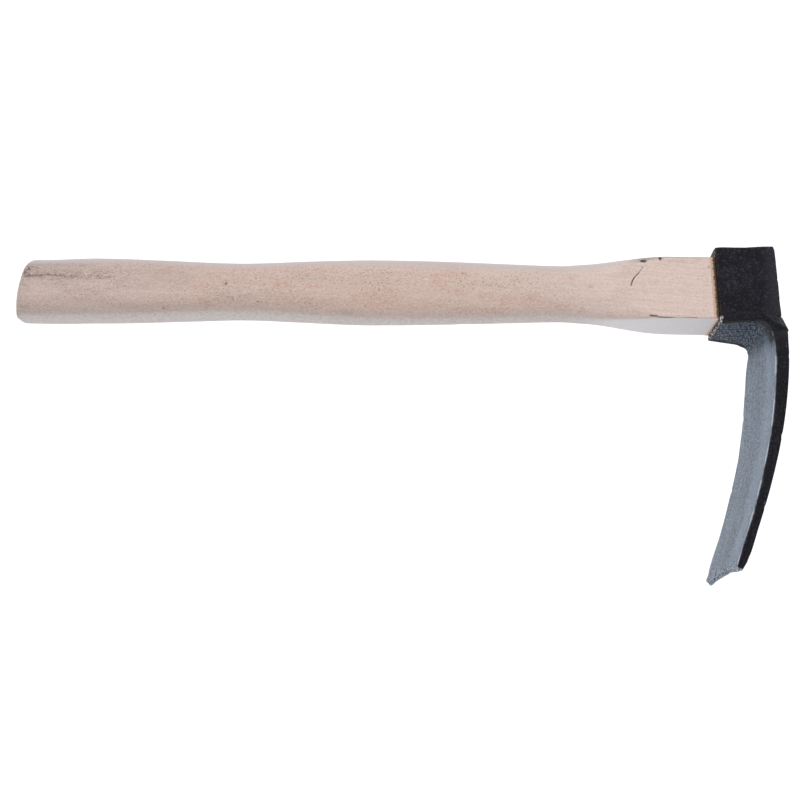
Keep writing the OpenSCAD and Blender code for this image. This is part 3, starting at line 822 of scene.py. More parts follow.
# Soiled spots: x, y, z, half sizes along and across the haft, strength.
SPOTS = [
    (-263.9, -12.8, -21.9, 0.78, 0.63, 0.85), (-297, -9.7, -34.6, 0.68, 1.05, 0.6),
    (-297.1, -6.5, -36.5, 1.05, 0.84, 0.4), (-304.3, -7.1, -36.5, 0.63, 0.53, 0.4),
    (-362.1, -13.6, -22.6, 0.8, 0.64, 0.4), (-356.2, -13.6, -22.9, 0.95, 0.69, 0.45),
    (-351.4, -13.6, -23.4, 1.37, 0.63, 0.35), (-255.6, -12.6, -28.3, 1.55, 0.47, 0.4),
    (-251.9, -12.7, -28.2, 1.35, 0.47, 0.4), (-268.8, -12.1, -30.4, 1.35, 0.62, 0.4),
    (-246.4, -11.4, -31.3, 1.24, 0.78, 0.35), (-261, -12.8, -26.7, 1.14, 0.47, 0.25),
    (-229.3, -13, -20.3, 0.78, 0.62, 0.35), (-220.6, -13, -17.5, 1.55, 0.47, 0.32),
    (-215.9, -12.7, -14, 1.35, 0.62, 0.4), (-199.7, -8.8, -35.3, 2.06, 0.62, 0.3),
    (-133.6, -12.6, -19.3, 0.92, 0.41, 0.4), (-130.3, -12.7, -20.4, 1.12, 0.41, 0.4),
    (-120.9, -12.5, -22.6, 0.66, 0.46, 0.4), (-76.8, -12.2, -22.3, 0.75, 0.5, 0.5),
    (-86.8, -11.7, -16.9, 0.91, 0.45, 0.3), (-18.4, -12.3, -11.3, 0.45, 0.45, 0.6),
    (-20.6, -12.2, -31.8, 0.54, 0.44, 0.5), (-39.3, -12.2, -33.6, 0.54, 0.54, 0.35),
    (-20.3, -1.1, -38.8, 0.6, 0.4, 0.4), (-41.4, -12.3, -22.6, 0.35, 0.8, 0.35),
    (-41.4, -12.3, -25.6, 0.35, 0.8, 0.3), (-41.4, -12.3, -16.9, 0.3, 2.5, 0.16),
    (-230.6, 2.3, -36.9, 1.06, 0.42, 0.45),
]
# Reddish smudges, columns as above.
RUST_MARKS = [
    (-234.4, -12.9, -22.3, 5.18, 2.59, 0.95), (-218.6, -13, -22.8, 4.64, 1.8, 0.7),
    (-216.2, -12.6, -13.6, 3.11, 1.56, 0.4), (-236.6, -11.5, -31.2, 3.62, 3.1, 0.4),
    (-220.3, -12, -30.7, 3.09, 4.63, 0.35), (-206.8, -11.9, -31.1, 4.11, 2.57, 0.35),
    (-183.5, -12.2, -30, 15.32, 7.15, 0.42), (-152.2, -12.9, -20.1, 5.61, 5.1, 0.45),
    (-146.2, -12.3, -15.4, 9.2, 1.79, 0.5), (-143.9, -12.6, -25.4, 6.09, 2.03, 0.42),
    (-128.7, -11.8, -27.7, 4.05, 3.54, 0.45), (-119.1, -10.7, -29.9, 6.07, 3.03, 0.65),
    (-106.5, -10.7, -29.2, 7.57, 4.54, 0.6), (-105.4, -9.1, -31.8, 6.06, 2.53, 0.55),
    (-91.4, -9, -31.6, 8.06, 2.52, 0.45), (-131.1, -8.2, -33.9, 18.3, 2.03, 0.45),
    (-162.1, -10.3, -32.8, 11.21, 2.55, 0.4), (-81.4, -7.9, -33.3, 3.02, 2.52, 0.5),
    (-64.7, -8.1, -35.9, 6.01, 3.01, 0.55), (-52.4, -11.3, -35.9, 6.95, 1.98, 0.3),
    (-86.6, -11.8, -17, 3.54, 2.02, 0.35), (-76.8, -12.2, -21.5, 2.51, 2.51, 0.3),
    (-277.3, -13, -23.8, 6.26, 2.61, 0.4), (-295.4, -9.4, -34.8, 4.72, 3.14, 0.4),
    (-273.7, -10.9, -32.4, 4.69, 3.65, 0.4), (-295.8, -13.2, -16, 6.31, 2.63, 0.28),
    (-324.4, -13.4, -13.4, 3.18, 2.65, 0.3), (-304.8, -6.8, -36.7, 7.38, 2.11, 0.35),
    (-326.8, -6, -37.7, 10.6, 2.12, 0.2), (-198.2, -8.4, -35.7, 20.58, 2.57, 0.25),
]
# Grey dirt, columns as above.
DIRT_MARKS = [
    (-353.9, -13.6, -18.3, 26.53, 4.25, 0.55), (-371.1, -13.5, -15.4, 7.47, 6.4, 0.8),
    (-374.5, -13.2, -22.3, 4.26, 9.58, 0.6), (-332.1, -13.6, -16.4, 12.69, 5.29, 0.35),
    (-355.2, -13, -11.6, 32, 2.67, 0.45), (-355.9, -13.6, -23.4, 10.58, 2.12, 0.25),
    (-296.6, -7.1, -36.1, 3.68, 2.63, 0.35), (-277.2, 0.3, -36.4, 5.32, 2.13, 0.4),
    (-255.6, -12.7, -28, 7.26, 2.07, 0.18), (-264.1, -12.8, -21.9, 2.6, 2.08, 0.3),
    (-200.7, -8.8, -35.3, 10.29, 3.09, 0.25), (-322.7, -12.1, -9.9, 21.26, 2.13, 0.25),
    (-300.6, -12.2, -11, 15.86, 2.12, 0.22), (-131.5, -2.6, -37.1, 10.27, 2.05, 0.3),
    (-232, -12.9, -25.7, 7.23, 5.16, 0.12),
]
# Nicks and dents: x, y, z, half sizes along and across the haft, depth.
NEAR_NICKS = [
    (-50.4, -11.9, -7.7, 1.81, 1.11, 0.42), (-42.1, -12.2, -6.7, 0.91, 0.81, 0.3),
    (-263.9, -12.8, -21.9, 1.04, 0.94, 0.18), (-55.5, -12.2, -17.8, 0.8, 2.25, 0.12),
    (-141.8, 1.5, -37.6, 2.59, 0.83, 0.2), (-126.4, 0.3, -37.1, 2.58, 0.72, 0.22),
    (-131.5, -2.6, -37.1, 2.57, 0.72, 0.12), (-202.6, 1.4, -38.2, 3.15, 0.73, 0.18),
    (-44.8, -11.5, -37.8, 2.97, 0.59, 0.2), (-35.2, -11.9, -38.3, 9.86, 0.44, 0.12),
    (-230.6, 2.7, -36.9, 1.59, 0.74, 0.15),
]
# Wider dents all round: x, y, z, radius, depth.
WIDE_DENTS = [
    (-90, 12, -14, 4, 0.25), (-190, 13, -24, 6, 0.2), (-318, 10, -33, 5, 0.3),
    (-240, 0, -7, 5, 0.2), (-140, 5, -37, 4, 0.2),
]


def station_value(s, column):
    """Smooth curve through a column of the stations, level at its peaks."""
    at, value = STATIONS[:, 0], STATIONS[:, column]
    rise = np.diff(value)
    slopes = np.zeros(len(at))
    mean = (value[2:] - value[:-2]) / (at[2:] - at[:-2])
    slopes[1:-1] = np.where(rise[1:] * rise[:-1] > 0, mean, 0)
    i = np.clip(np.searchsorted(at[1:], s, side="left"), 0, len(at) - 2)
    d = at[i + 1] - at[i]
    t = np.clip((s - at[i]) / d, 0, 1)
    return ((2 * t**3 - 3 * t**2 + 1) * value[i] + (t**3 - 2 * t**2 + t) * slopes[i] * d
            + (3 * t**2 - 2 * t**3) * value[i + 1] + (t**3 - t**2) * slopes[i + 1] * d)


def outline_terms(corner=20, upright=18, level=14):
    """Section points as y = ay (t/2 - ry) + by ry, z = az (h/2 - rz) + bz rz.

    A row is ay, by, az, bz; each quarter is a corner arc followed by a straight side.
    """
    rows = []
    for quarter in range(4):
        side_y, side_z = (1 if quarter in (0, 3) else -1), (1 if quarter < 2 else -1)
        for k in range(corner):
            a = math.radians(90 * quarter + 90 * k / (corner - 1))
            rows.append((side_y, math.cos(a), side_z, math.sin(a)))
        count = level if quarter in (0, 2) else upright
        for k in range(1, count + 1):
            w = 1 - 2 * k / (count + 1)
            rows.append(((w, 0, 1, 1), (-1, -1, w, 0), (-w, 0, -1, -1), (1, 1, -w, 0))[quarter])
    return np.array(rows, float)


TERMS = outline_terms()


def outline(height, thick, radius_y, radius_z):
    y = TERMS[:, 0] * (thick / 2 - radius_y) + TERMS[:, 1] * radius_y
    z = TERMS[:, 2] * (height / 2 - radius_z) + TERMS[:, 3] * radius_z
    return y, z


def section(s, inset=0.0):
    """Section of the haft at the distance s behind the eye, about the haft's axis."""
    height, thick = station_value(s, 1), station_value(s, 2)
    roundness = ease((s - 0.06 * HAFT_LENGTH) / (0.115 * HAFT_LENGTH))
    flatness = ease((s - 0.25 * HAFT_LENGTH) / (0.5 * HAFT_LENGTH))
    radius_y = mix(1.2, thick / 2 * mix(0.96, 0.84, flatness), roundness)
    radius_z = mix(1.2, height / 2 * mix(0.94, 0.60, flatness), roundness)
    return outline(height - 2 * inset, thick - 2 * inset,
                   max(0.4, radius_y - inset), max(0.4, radius_z - inset))


def butt_x(y, z):
    slant = np.where(z > -4, BUTT_SLANT * ((z + 4) / 21) ** 2, 0.5 * ((z + 4) / 13) ** 2)
    return -HAFT_LENGTH + 2 * (y / 12) ** 2 + slant


def shoulder_x(z):
    return -GAP - np.maximum(0, EYE_LEAN * 0.6 * (z + AXIS_Z - LEG_TOP) / -LEG_TOP)


def sag(s):
    return HEAD_SAG * (1 - ease(s / 64)) + GRIP_SAG * ease((s - 100) / 140)


# Kinds of ring.
IN_EYE, BODY, END = 0, 1, 2


def haft_rings():
    """Rings (x, y, z, kind) from the front end to the butt, about the axis behind the eye."""
    chamfer, corner, shoulder_edge = 0.7, 0.6, 0.6
    front = TENON_FRONT - EYE_REAR_X
    offset = OPEN_MID - AXIS_Z
    face_y, face_z = outline(OPEN_HEIGHT - 2 * chamfer, OPEN_WIDTH - 2 * chamfer, corner, corner)
    tenon_y, tenon_z = outline(OPEN_HEIGHT - 2 * GAP, OPEN_WIDTH - 2 * GAP, corner, corner)
    rings = []
    for f in np.linspace(0.06, 1.0, 15):
        rings.append((np.full(len(face_y), front), face_y * f, face_z * f + offset, END))
    face_z, tenon_z = face_z + offset, tenon_z + offset
    for k in (1, 2, 3):
        a = math.radians(30 * k)
        x = np.full(len(face_y), front - chamfer * (1 - math.cos(a)))
        rings.append((x, mix(face_y, tenon_y, math.sin(a)), mix(face_z, tenon_z, math.sin(a)),
                      IN_EYE))
    # Along the tenon, out over the shoulder and round its edge.
    tenon_x = shoulder_x(tenon_z)
    for k in range(1, 19):
        rings.append((mix(front - chamfer, tenon_x, k / 18), tenon_y, tenon_z, IN_EYE))
    y, z = section(0, shoulder_edge)
    z = z + HEAD_SAG
    x = shoulder_x(z)
    for f in (0.25, 0.5, 0.75, 1.0):
        rings.append((mix(tenon_x, x, f), mix(tenon_y, y, f), mix(tenon_z, z, f), IN_EYE))
    for k in (1, 2, 3, 4):
        a = math.radians(22.5 * k)
        y, z = section(0.6, shoulder_edge * (1 - math.sin(a)))
        z = z + HEAD_SAG
        rings.append((shoulder_x(z) - shoulder_edge * (1 - math.cos(a)), y, z, BODY))
    s = 1.2
    while s < HAFT_LENGTH - 11:
        y, z = section(s)
        z = z + sag(s)
        rings.append((-s + shoulder_x(z) * max(0, 1 - s / 20), y, z, BODY))
        s += 0.50 if s < 75 else 0.62
    # Rounded edge and end face of the butt.
    for k in range(17):
        a = math.radians(90 * k / 16)
        y, z = section(HAFT_LENGTH - 4, BUTT_EDGE * (1 - math.cos(a)))
        rings.append((butt_x(y, z) + BUTT_EDGE * (1 - math.sin(a)), y, z + GRIP_SAG, BODY))
    y, z = section(HAFT_LENGTH - 4, BUTT_EDGE)
    for f in np.linspace(0.94, 0.06, 16):
        rings.append((butt_x(y * f, z * f), y * f, z * f + GRIP_SAG, END))
    return rings


def haft_mesh():
    """Points, kinds, quads and end triangles of the smooth haft."""
    rings = haft_rings()
    n, count = len(TERMS), len(rings)
    verts = [np.stack([x + EYE_REAR_X, y, z + AXIS_Z], 1) for x, y, z, _ in rings]
    butt_centre = [float(butt_x(0.0, 0.0)) + EYE_REAR_X, 0, AXIS_Z + GRIP_SAG]
    verts = np.concatenate(verts + [[[TENON_FRONT, 0, OPEN_MID]], [butt_centre]])
    kind = np.concatenate([np.full(n, ring[3]) for ring in rings] + [[END, END]])
    i = np.arange(count - 1)[:, None] * n
    j = np.arange(n)[None, :]
    k = (j + 1) % n
    quads = np.stack([i + j, i + k, i + n + k, i + n + j], -1).reshape(-1, 4)
    front_centre, last = count * n, (count - 1) * n
    tris = [((m + 1) % n, m, front_centre) for m in range(n)]
    tris += [(last + m, last + (m + 1) % n, front_centre + 1) for m in range(n)]
    return verts, kind, quads, tris


def soft_marks(points):
    """How strongly the points are soiled by the streaks and spots."""
    out = marks(points, SPOTS, 1.3, 1.3, extra=0.4)
    for start, end, half_width, strength in STREAKS:
        start, end = np.array(start), np.array(end)
        run = end - start
        t = np.clip((points - start) @ run / (run @ run), 0, 1)
        distance = np.linalg.norm(points - start - t[:, None] * run, axis=1)
        out = np.maximum(out, strength * bump(distance / (half_width * 2.0 + 0.75)))
    return out


def make_haft(material):
    verts, kind, quads, tris = haft_mesh()
    quads, tris, normals = outward(verts, quads, tris)
    s = EYE_REAR_X - verts[:, 0]
    near = (normals @ (CAMERA_AT - np.array([-150, 0, -20]))) > 0

    # Hand-shaped surface: slow waves, small flats, fibres, nicks and dents.
    body = (kind == BODY) * ease((s - 0.5) / 3)
    move = body * (fbm(verts * (0.018, 0.05, 0.05), 2, 3) * 0.16
                   + fbm(verts * (0.05, 0.16, 0.16), 2, 11) * 0.07
                   + fbm(verts * (0.12, 1.1, 1.1), 2, 21) * 0.022)
    for *place_and_size, depth in NEAR_NICKS:
        move -= body * near * mark_hill(verts, *place_and_size) * depth
    move -= body * dents(verts, WIDE_DENTS, stretch=(0.6, 1, 1))
    move += (kind == END) * fbm(verts * 0.9, 3, 31) * 0.05
    # Height is trimmed above and below.
    above = np.clip(normals[:, 2], 0, 1) * (-0.10 + 0.40 * ease((verts[:, 0] + 72) / 45))
    move -= body * (above + np.clip(-normals[:, 2], 0, 1) * 0.17)
    verts = verts + normals * move[:, None]

    # The butt droops a little and is cut nearly square below.
    low = np.clip((AXIS_Z - verts[:, 2] - 3.0) / 14.6, 0, 1.1)
    verts[:, 0] -= 4.6 * low ** 6 * ease((s - HAFT_LENGTH + 15) / 8)
    verts[:, 2] -= 0.75 * ease((s - HAFT_LENGTH + 43) / 28)

    # Broad smudges: the marks on the near side, noise on the far side.
    far = ~near
    wide = verts * (0.02, 0.06, 0.06)
    rust = near * marks(verts, RUST_MARKS, 1.5, 1.4)
    rust = np.maximum(rust, far * np.clip(fbm(wide, 3, 41) * 1.6 - 0.25, 0, 0.38))
    upper = ease((verts[:, 2] - AXIS_Z + 4) / 8)
    haze = np.clip(fbm(verts * (0.035, 0.14, 0.14), 3, 53) * 0.75 - 0.06, 0, 0.17)
    far_dirt = np.clip(fbm(wide, 3, 47) * 1.3 - 0.30 + 0.4 * ease((s - 300) / 60), 0, 0.32)
    dirt = near * marks(verts, DIRT_MARKS, 1.2, 1.2)
    dirt = np.maximum(dirt, near * haze * ease((s - 90) / 170))
    dirt = np.maximum(dirt, far * far_dirt)
    dirt = np.maximum(dirt, ease((s - HAFT_LENGTH + 9) / 6) * (0.35 + 0.6 * upper))
    butt_soil = 0.62 * ease((s - HAFT_LENGTH + 3.4) / 2.4) * upper
    soil = np.maximum(soft_marks(verts), butt_soil) * near
    return build("haft_wood", verts, quads, material, "haft",
                 {"rust": rust, "dirt": dirt, "soil": soil}, tris)


def cut_tenon(haft):
    """Cuts the room for the wedges and the saw kerf out of the tenon."""
    play = 2 * SLOT_PLAY
    low, top = WOOD_WEDGE_LOW - SLOT_PLAY, WOOD_WEDGE_TOP + SLOT_PLAY
    x1 = TENON_FRONT + 0.4
    half_y = ((0.9 + play) / 2, (3.26 + play) / 2)
    cutters = [cutter_box(x1 - 24.4, x1, half_y, (low, low), (top, top))]
    x1 = TENON_FRONT + 0.8
    for z in STEEL_WEDGE_Z:
        cutters.append(level_cutter(x1 - 17.4, x1, 16 + play, z, 0.5 + play, 2.44 + play))
    low, top = LEG_TOP - 0.5, OPEN_TOP + 0.5
    cutters.append(cutter_box(EYE_REAR_X + 2.4, EYE_REAR_X + 10.4, (0.5, 0.5),
                              (low, low), (top, top)))
    bpy.context.view_layer.objects.active = haft
    cut(haft, cutters, "MANIFOLD", len(haft.data.polygons) * 0.9)


# ------------------------------------------------------------------ eye

# Shallow flats on the crown: x, y, radius, depth.
CROWN_FLATS = [(-6, 3, 7, 0.14), (5, -5, 6, 0.12), (9, 6, 5, 0.10), (-9, -8, 5, 0.10),
               (1, 9, 5, 0.08)]
# Small dings on the edges: x, y, z, radius, depth.
EYE_DINGS = [
    (14, -13, -0.6, 1.6, 0.35), (EYE_REAR_X, -11, -0.8, 2.4, 0.4), (4, -12.8, -0.4, 1.2, 0.2),
    (13.6, 7, -0.2, 1.4, 0.3), (EYE_REAR_X - 0.5, -13, -9, 1.2, 0.2),
    (EYE_REAR_X - 0.3, -13, -22, 1.6, 0.22), (EYE_REAR_X, -13, -31, 1.3, 0.2),
    (14.6, -13, -18, 1.4, 0.2), (14.9, -13, -29, 1.2, 0.18),
]


def eye_outlines():
    """Matching points (y, z) inside and outside the strap, from the +Y foot to the -Y foot."""
    inner_radius, arc_cells, cheek_cells, crown_cells = 0.5, 10, 78, 52
    inside, outside = OPEN_WIDTH / 2, EYE_WIDTH / 2
    inner, outer = [], []

    def run(inner_ends, outer_ends, cells):
        for points, (start, end) in ((inner, inner_ends), (outer, outer_ends)):
            for k in range(cells):
                points.append([mix(start[i], end[i], k / cells) for i in (0, 1)])

    def turn(side, start):
        for k in range(arc_cells):
            a = math.radians(start + 90 * k / arc_cells)
            for points, half, top, r in ((inner, inside, OPEN_TOP, inner_radius),
                                         (outer, outside, 0, CROWN_RADIUS)):
                points.append([side * (half - r) + r * math.cos(a), top - r + r * math.sin(a)])

    in_z, in_y = OPEN_TOP - inner_radius, inside - inner_radius
    out_z, out_y = -CROWN_RADIUS, outside - CROWN_RADIUS
    run(((inside, LEG_TOP), (inside, in_z)), ((outside, LEG_TOP), (outside, out_z)), cheek_cells)
    turn(1, 0)
    run(((in_y, OPEN_TOP), (-in_y, OPEN_TOP)), ((out_y, 0), (-out_y, 0)), crown_cells)
    turn(-1, 90)
    run(((-inside, in_z), (-inside, LEG_TOP)), ((-outside, out_z), (-outside, LEG_TOP)),
        cheek_cells)
    inner.append([-inside, LEG_TOP])
    outer.append([-outside, LEG_TOP])
    return np.array(inner), np.array(outer)


def make_eye(material):
    inner, outer = eye_outlines()
    length = path_length(inner, outer)
    total, depth, radius = length[-1], 3.0, 0.42
    flat, pts, quads = rounded_box((total, depth, EYE_LENGTH), (210, 3, 66), radius)
    # Only the front and back arrises are rounded; the cheeks end square against the leg.
    at_foot = (flat[:, 0] < 0.5) | (flat[:, 0] > total - 0.5)
    along = np.where(at_foot, flat[:, 0], pts[:, 0])
    through, forward = pts[:, 1] / depth, pts[:, 2] / EYE_LENGTH
    inner_y, inner_z = trace(along, length, inner)
    outer_y, outer_z = trace(along, length, outer)
    y, z = mix(inner_y, outer_y, through), mix(inner_z, outer_z, through)
    rise = (z - LEG_TOP) / -LEG_TOP
    x = mix(EYE_REAR_X - EYE_LEAN * 0.6 * rise,
            EYE_FRONT_X - EYE_LEAN * rise - 0.25 - 0.25 * (1 - rise), forward)
    z = z + ease((z + CROWN_THICK) / CROWN_THICK) * 0.5 * ease((x + 2) / 15)
    crown = ease((z + CROWN_THICK + 0.4) / 1.2)
    x = x + (1 - forward) * crown * 0.045 * (y + EYE_WIDTH / 2)
    verts = np.stack([x, y, z], 1)
    quads, _, normals = outward(verts, quads)
    outside = ease((through - 0.6) / 0.3)
    move = outside * ease((z - LEG_TOP) / 2.0) * (
        fbm(verts * 0.10, 2, 51) * 0.16 + fbm(verts * 0.35, 2, 57) * 0.05
        + fbm(verts * 1.1, 2, 59) * 0.018)
    move -= (normals[:, 2] > 0.5) * dents(verts[:, :2], CROWN_FLATS)
    move -= dents(verts, EYE_DINGS)
    verts = verts + normals * move[:, None]
    # Ragged haft-side edge of the strap.
    edge = ease(1 - pts[:, 2] / 1.2) * outside
    verts[:, 0] += edge * (fbm(verts * (0.3, 0.9, 0.9), 3, 63) * 0.22 + 0.10)
    near_end = np.minimum(pts[:, 2], EYE_LENGTH - pts[:, 2])
    corner = np.exp(-((np.abs(y) - (EYE_WIDTH / 2 - 0.3)) ** 2 + (z + 0.3) ** 2) / 1.2)
    arris = np.clip(ease(1 - near_end / 0.9) + corner, 0, 1) * outside
    return build("eye_shell", verts, quads, material, "eye_strap",
                 {"arris": arris, "inside": ease((0.3 - through) / 0.2)})


# ------------------------------------------------------------------ blade

# Wear of the cutting edge: place across the width (-1 to 1) and how far it is set back.
EDGE_WEAR = [(-1, 1.1), (-0.86, 1.0), (-0.33, 2.4), (0.1, 1.5), (0.36, 0.5), (0.6, -0.25),
             (0.88, -0.85), (1.0, 0.9)]
# Swelling of the outer face: height above the edge, amount.
OUTER_SWELL = [(0, 0.55), (3, 0.55), (5.5, 0.5), (7.5, 0.55), (10.5, 0.58), (13, 0.5),
               (15.5, 0.42), (20, 0.24), (26, 0.17), (45, 0.18), (60, 0.30), (80, 0.28),
               (95, 0.08), (106, -0.02), (112, -0.10)]
# Hammer marks on the outer face and nicks on the sides: along, across, radius, depth.
HAMMER_MARKS = [(60, -10, 7, 0.22), (78, 12, 8, 0.2), (97, -4, 7, 0.2), (115, 15, 6, 0.15),
                (52, 14, 6, 0.2), (88, -18, 6, 0.15)]
SIDE_NICKS = [(86, -28, 2.2, 0.25), (120, -28, 1.6, 0.2), (64, 28, 2.4, 0.3),
              (103, 28, 1.8, 0.25), (47, -28, 2.0, 0.15)]


def half_width(x, z):
    run, drop = x - EYE_REAR_X, LEG_LOW - z
    leg = np.minimum(NECK_HALF, EYE_WIDTH / 2 + 0.1 + 0.36 * np.maximum(run, 0))
    blade = BLADE_WIDTH / 2 * (1 - ROOT_TAPER * (1 - drop / BLADE_DROP))
    blade = blade * (1 - 0.281 * np.exp(-np.maximum(0, drop - 6) / 8))
    width = mix(leg, blade, ease((drop - 1.0) / 2.0))
    # A plane through three points trims the front corners beside the eye.
    a = np.array([EYE_FRONT_X, EYE_WIDTH / 2, LEG_TOP - 1.5])
    b = np.array([EYE_FRONT_X, NECK_HALF - 0.4, LEG_TOP - 8.8])
    c = np.array([BEND_X + 3.8, NECK_HALF + 0.8, LEG_TOP - 2.9])
    n = np.cross(b - a, c - a)
    n = n if n[2] > 0 else -n
    limit = a[1] - (n[0] * (x - a[0]) + n[2] * (z - a[2])) / n[1]
    return np.where(z > LEG_TOP - 9.6, np.minimum(width, limit), width)


def outer_edge(z):
    """X of the outer face at the height z."""
    def arc(height):
        span = max(OUTER_RADIUS ** 2 - (height - OUTER_CENTRE[1]) ** 2, 0)
        return OUTER_CENTRE[0] + math.sqrt(span)

    flat_low = LEG_TOP - 8.8
    if z > flat_low:
        return EYE_FRONT_X
    fade = min((flat_low - z) / 12.0, 1)
    return arc(z) + (EYE_FRONT_X - arc(flat_low)) * (1 - fade) ** 2


def bend_reach(cos, sin):
    """Distance from the centre of the bend to the outside of the plate."""
    corners = [(EYE_REAR_X, LEG_TOP), (EYE_FRONT_X - 0.1, LEG_TOP),
               (EYE_FRONT_X, LEG_TOP - 1.8), (EYE_FRONT_X, LEG_TOP - 60)]
    reach = []
    for (px, pz), (qx, qz) in zip(corners, corners[1:]):
        ex, ez = qx - px, qz - pz
        cross = cos * ez - sin * ex
        if abs(cross) < 1e-12:
            continue
        t = ((px - BEND_X) * ez - (pz - BEND_Z) * ex) / cross
        w = ((px - BEND_X) * sin - (pz - BEND_Z) * cos) / cross
        if t > 0 and -1e-9 <= w <= 1 + 1e-9:
            reach.append(t)
    return min(reach)


def blade_outlines():
    """Matching points (x, z) of the inner and outer faces, from the leg's end to the edge."""
    leg_cells, bend_cells, arc_cells = 46, 52, 230
    inner, outer = [], []
    for k in range(leg_cells):
        x = mix(EYE_REAR_X, BEND_X, k / leg_cells)
        inner.append((x, LEG_LOW))
        outer.append((x, LEG_TOP))
    for k in range(bend_cells):
        a = mix(math.pi / 2, -BEND_ANGLE, k / bend_cells)
        cos, sin = math.cos(a), math.sin(a)
        reach = bend_reach(cos, sin)
        inner.append((BEND_X + BEND_RADIUS * cos, BEND_Z + BEND_RADIUS * sin))
        outer.append((BEND_X + reach * cos, BEND_Z + reach * sin))
    # The bevel is a plane that meets the land at the edge.
    slope = math.tan(math.atan2(3.5 - LAND_WIDTH + 0.5, BEVEL_LENGTH))
    tip_out = np.array([math.cos(TIP_ANGLE), -math.sin(TIP_ANGLE)])
    tip_up = np.array([math.sin(TIP_ANGLE), math.cos(TIP_ANGLE)])
    bevel = tip_out - slope * tip_up
    centre, tip = np.array(INNER_CENTRE), np.array([TIP_X, TIP_Z])
    for k in range(arc_cells + 1):
        a = mix(BEND_ANGLE, TIP_ANGLE, k / arc_cells)
        d = np.array([math.cos(a), -math.sin(a)])
        inner.append(centre + INNER_RADIUS * d)
        reach = OUTER_RADIUS
        for _ in range(40):
            reach = (outer_edge(centre[1] + reach * d[1]) - centre[0]) / d[0]
        to_bevel = (LAND_WIDTH - (centre - tip) @ bevel) / (d @ bevel)
        outer.append(centre + min(reach, to_bevel) * d)
    return np.array(inner), np.array(outer)


def make_blade(material):
    inner, outer = blade_outlines()
    length = path_length(inner, outer)
    total, depth, half = length[-1], 4.0, 40.0
    _, pts, quads = rounded_box((total, depth, 2 * half), (270, 8, 104), radius=0.45)
    along, through, across = pts[:, 0], pts[:, 1] / depth, pts[:, 2] / half - 1
    # The worn cutting edge is set back or forward, and its last millimetres curl outwards.
    back = np.interp(across, *zip(*EDGE_WEAR))
    zeros = across * 0
    back = back + fbm(np.stack([across * 9, zeros, zeros], 1), 3, 71) * 0.28
    share = ease((along - (total - 14)) / 14)
    a = along - share * np.maximum(back, 0)
    beyond = share * np.maximum(-back, 0)
    inner_x, inner_z = trace(a, length, inner)
    outer_x, outer_z = trace(a, length, outer)
    curl = ease((a - (total - 7)) / 7) * (0.45 + 0.65 * ease((across - 0.5) / 0.4))
    cos, sin = math.cos(TIP_ANGLE), math.sin(TIP_ANGLE)
    x = mix(inner_x, outer_x, through) - beyond * sin + curl * cos
    z = mix(inner_z, outer_z, through) - beyond * cos - curl * sin
    verts = np.stack([x, across * half_width(x, z), z], 1)
    quads, _, normals = outward(verts, quads)

    # The top of the leg stays flat under the eye.
    flat = np.stack([a, across * 28, through * 4], 1)
    clear = np.clip(ease((a - 34) / 6) + (through < 0.5) * 1.0, 0, 1)
    move = clear * (fbm(flat * (0.03, 0.05, 0.05), 2, 81) * 0.22
                    + fbm(flat * (0.12, 0.3, 0.3), 2, 83) * 0.06
                    + fbm(flat * (0.08, 1.2, 0.4), 2, 85) * 0.03)
    move += clear * (a < 40) * fbm(verts * 0.6, 3, 87) * 0.08
    move -= (through > 0.8) * dents(flat[:, :2], HAMMER_MARKS)
    move -= dents(flat[:, :2], SIDE_NICKS)
    # Hollow inside the bend; swellings of the outer and inner faces above the edge.
    move -= (through < 0.5) * bump((a - 24.5) / 5.5) * 0.55
    up = total - a
    move += (through > 0.6) * ease((a - 26) / 4) * np.interp(up, *zip(*OUTER_SWELL))
    move += (through < 0.4) * 0.42 * ease((up - 5) / 8) * (1 - ease((up - 46) / 22))
    # Nicks along the cutting edge.
    at_tip = ease((a - (total - 3.2)) / 2.2)
    move += at_tip * fbm(flat * (0.5, 0.55, 0.8), 3, 89) * 0.30
    verts = verts + normals * move[:, None]
    # Torn end of the leg.
    torn = (fbm(verts * (0.2, 0.55, 0.9), 3, 91) * 0.55
            + fbm(verts * (0.2, 1.7, 1.7), 2, 93) * 0.25 + 0.25)
    verts[:, 0] += ease(1 - a / 1.3) * torn
    # The far (+Y) corner of the edge is blunt.
    blob = bump(np.sqrt(((across - 0.97) / 0.13) ** 2 + ((a - total) / 5.0) ** 2))
    verts += normals * (blob * 0.45)[:, None]
    return build("blade_steel", verts, quads, material, "blade_plate",
                 {"along": along, "through": through, "across": across, "toedge": total - along})


# ------------------------------------------------------------------ welds and wedges

